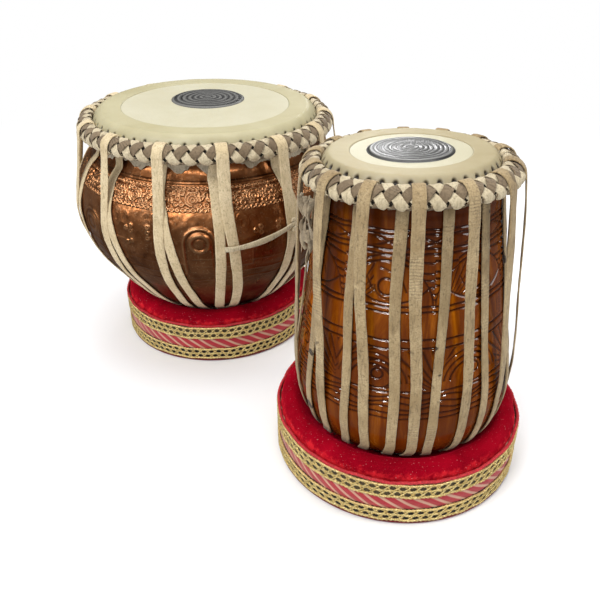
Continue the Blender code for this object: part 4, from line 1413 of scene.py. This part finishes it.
def dayan_tail():
    """Loose knotted tail of the strap: five hanging ends and three knot turns."""
    patches = Patches()
    middle = DAYAN.start + math.radians(-64.0)
    part = np.linspace(0, 1, 70)
    for k, drop in enumerate((0.042, 0.036, 0.046, 0.026, 0.054)):
        phase = 1.3 * k
        angle = middle + np.radians(2.6 * (k - 2) * (1 - 0.5 * part)
                                    + 3.2 * np.sin(7 * part + phase) * part)
        path = polar(0.0855 + 0.0022 * np.sin(9 * part + phase) + 0.0010 * (k % 2), angle,
                     0.2532 - drop * part)
        spin = 5.0 * part * (1 if k % 2 else -1) + phase
        ribbon(patches, path, polar(1, angle - spin + math.pi / 2, 0),
               0.0050 * (1 - 0.35 * part), 0.0011, tone=0.2 + 0.6 * (k % 2), count=8)
    turn = circle(36)
    for k in range(3):
        path = polar(0.0858 + 0.0032 * np.sin(turn), middle + 0.055 * np.cos(turn),
                     0.2195 + 0.0030 * k + 0.0016 * np.sin(turn + k))
        ribbon(patches, path, (0, 0, 1), 0.0042, 0.0013, closed=True, tone=0.3, count=8)
    patches.place(mount("dayan", "drum"), "tail", TAIL, "rawhide", "strap_tail")


straps = [(drum, lacing(drum)) for drum in (BAYAN, DAYAN)]
for drum, strap in straps:
    join_lacing(drum, strap)
lower_ring(BAYAN)
lower_ring(DAYAN)
bayan_tie()
dayan_tail()


# ------------------------------------------------------------------ studio
scene = bpy.context.scene
scene.view_settings.view_transform = "Standard"
scene.view_settings.look = "None"


def studio_floor():
    """White floor that glows away from the drums and looks dim in reflections."""
    mat = Material("studio_floor")
    mat.set(Base_Color=(0.965, 0.965, 0.97), Roughness=0.75, Specular_IOR_Level=0.2)
    position = mat.node("ShaderNodeNewGeometry").outputs["Position"]
    distance = mat.node("ShaderNodeVectorMath", {0: position}, operation="LENGTH")
    glow = mat.node("ShaderNodeEmission", {"Color": (1.0, 1.0, 1.0), "Strength": 1.0})
    fade = mat.node("ShaderNodeMixShader", {
        0: mat.span(distance.outputs["Value"], over=(0.45, 1.15)),
        1: mat.shader.outputs[0], 2: glow.outputs[0]})
    dim = mat.node("ShaderNodeEmission", {"Color": (1.0, 0.97, 0.94), "Strength": 0.16})
    seen = mat.node("ShaderNodeMixShader", {
        0: mat.node("ShaderNodeLightPath").outputs["Is Glossy Ray"],
        1: fade.outputs[0], 2: dim.outputs[0]})
    mat.put(mat.tree.nodes["Material Output"].inputs["Surface"], seen.outputs[0])
    half, z = 6, -0.0002
    mesh = bpy.data.meshes.new("floor")
    mesh.from_pydata([(-half, -half, z), (half, -half, z), (half, half, z), (-half, half, z)],
                     [], [(0, 1, 2, 3)])
    mesh.materials.append(mat.material)
    floor = bpy.data.objects.new("floor", mesh)
    scene.collection.objects.link(floor)


def studio_world():
    """Soft grey light, darker in reflections, white to the camera."""
    world = bpy.data.worlds.new("studio")
    scene.world = world
    world.use_nodes = True
    nodes = Nodes(world.node_tree)
    background = nodes.tree.nodes["Background"]
    rays = nodes.node("ShaderNodeLightPath").outputs
    light = nodes.mix(rays["Is Glossy Ray"], low=(0.53, 0.535, 0.55), high=(0.065, 0.065, 0.068))
    seen = nodes.mix(rays["Is Camera Ray"], low=light, high=(1.0, 1.0, 1.0))
    nodes.put(background.inputs["Color"], seen)
    background.inputs["Strength"].default_value = 1.0


def softbox(name, at, aim, width, height, watts):
    light = bpy.data.lights.new(name, "AREA")
    light.shape, light.size, light.size_y = "RECTANGLE", width, height
    light.energy, light.color = watts, (1, 1, 1)
    ob = bpy.data.objects.new(name, light)
    scene.collection.objects.link(ob)
    ob.location = at
    ob.rotation_euler = (Vector(aim) - Vector(at)).to_track_quat("-Z", "Y").to_euler()
    return ob


# name, place, aim, width, height, watts
SOFTBOXES = [("key", (-0.9, -1.0, 1.7), (0, 0, 0.12), 0.9, 0.9, 25.0),
             ("top", (0.1, 0.25, 1.9), (0, 0, 0.1), 1.6, 1.2, 19.0),
             ("right", (1.6, -0.5, 0.9), (0.05, 0, 0.12), 0.5, 1.0, 9.0),
             ("back", (0.28, 1.9, 0.86), (0.1, -0.1, 0.27), 0.30, 0.22, 2.3)]
# small square lights left out of diffuse light: place, side, watts
GLINTS = [((-0.55, -1.35, 0.85), 0.16, 4.8), ((0.75, -1.25, 0.80), 0.13, 4.2),
          ((0.05, -1.5, 1.25), 0.20, 4.2), ((-1.2, -0.6, 0.7), 0.16, 3.6)]
CAMERA_AT = (0.0240, -0.6166, 0.4333)
PITCH, ROLL = 0.5314947, -0.0105    # radians: looking down, and turned about the view line


def studio_camera():
    camera = bpy.data.cameras.new("camera")
    camera.lens, camera.sensor_width, camera.sensor_fit = 40.17, 36.0, "HORIZONTAL"
    camera.clip_start, camera.clip_end = 0.01, 50.0
    ob = bpy.data.objects.new("camera", camera)
    scene.collection.objects.link(ob)
    forward = Vector((0, math.cos(PITCH), -math.sin(PITCH)))
    level_right, level_up = Vector((1, 0, 0)), Vector((0, math.sin(PITCH), math.cos(PITCH)))
    right = math.cos(ROLL) * level_right + math.sin(ROLL) * level_up
    up = math.cos(ROLL) * level_up - math.sin(ROLL) * level_right
    turn = Matrix((right, up, -forward)).transposed()
    ob.matrix_world = Matrix.Translation(CAMERA_AT) @ turn.to_4x4()
    scene.camera = ob


studio_floor()
studio_world()
for box in SOFTBOXES:
    softbox(*box)
for n, (place, side, watts) in enumerate(GLINTS):
    glint = softbox(f"glint_{n}", place, (0.05, -0.05, 0.17), side, side, watts)
    glint.visible_diffuse = False
studio_camera()
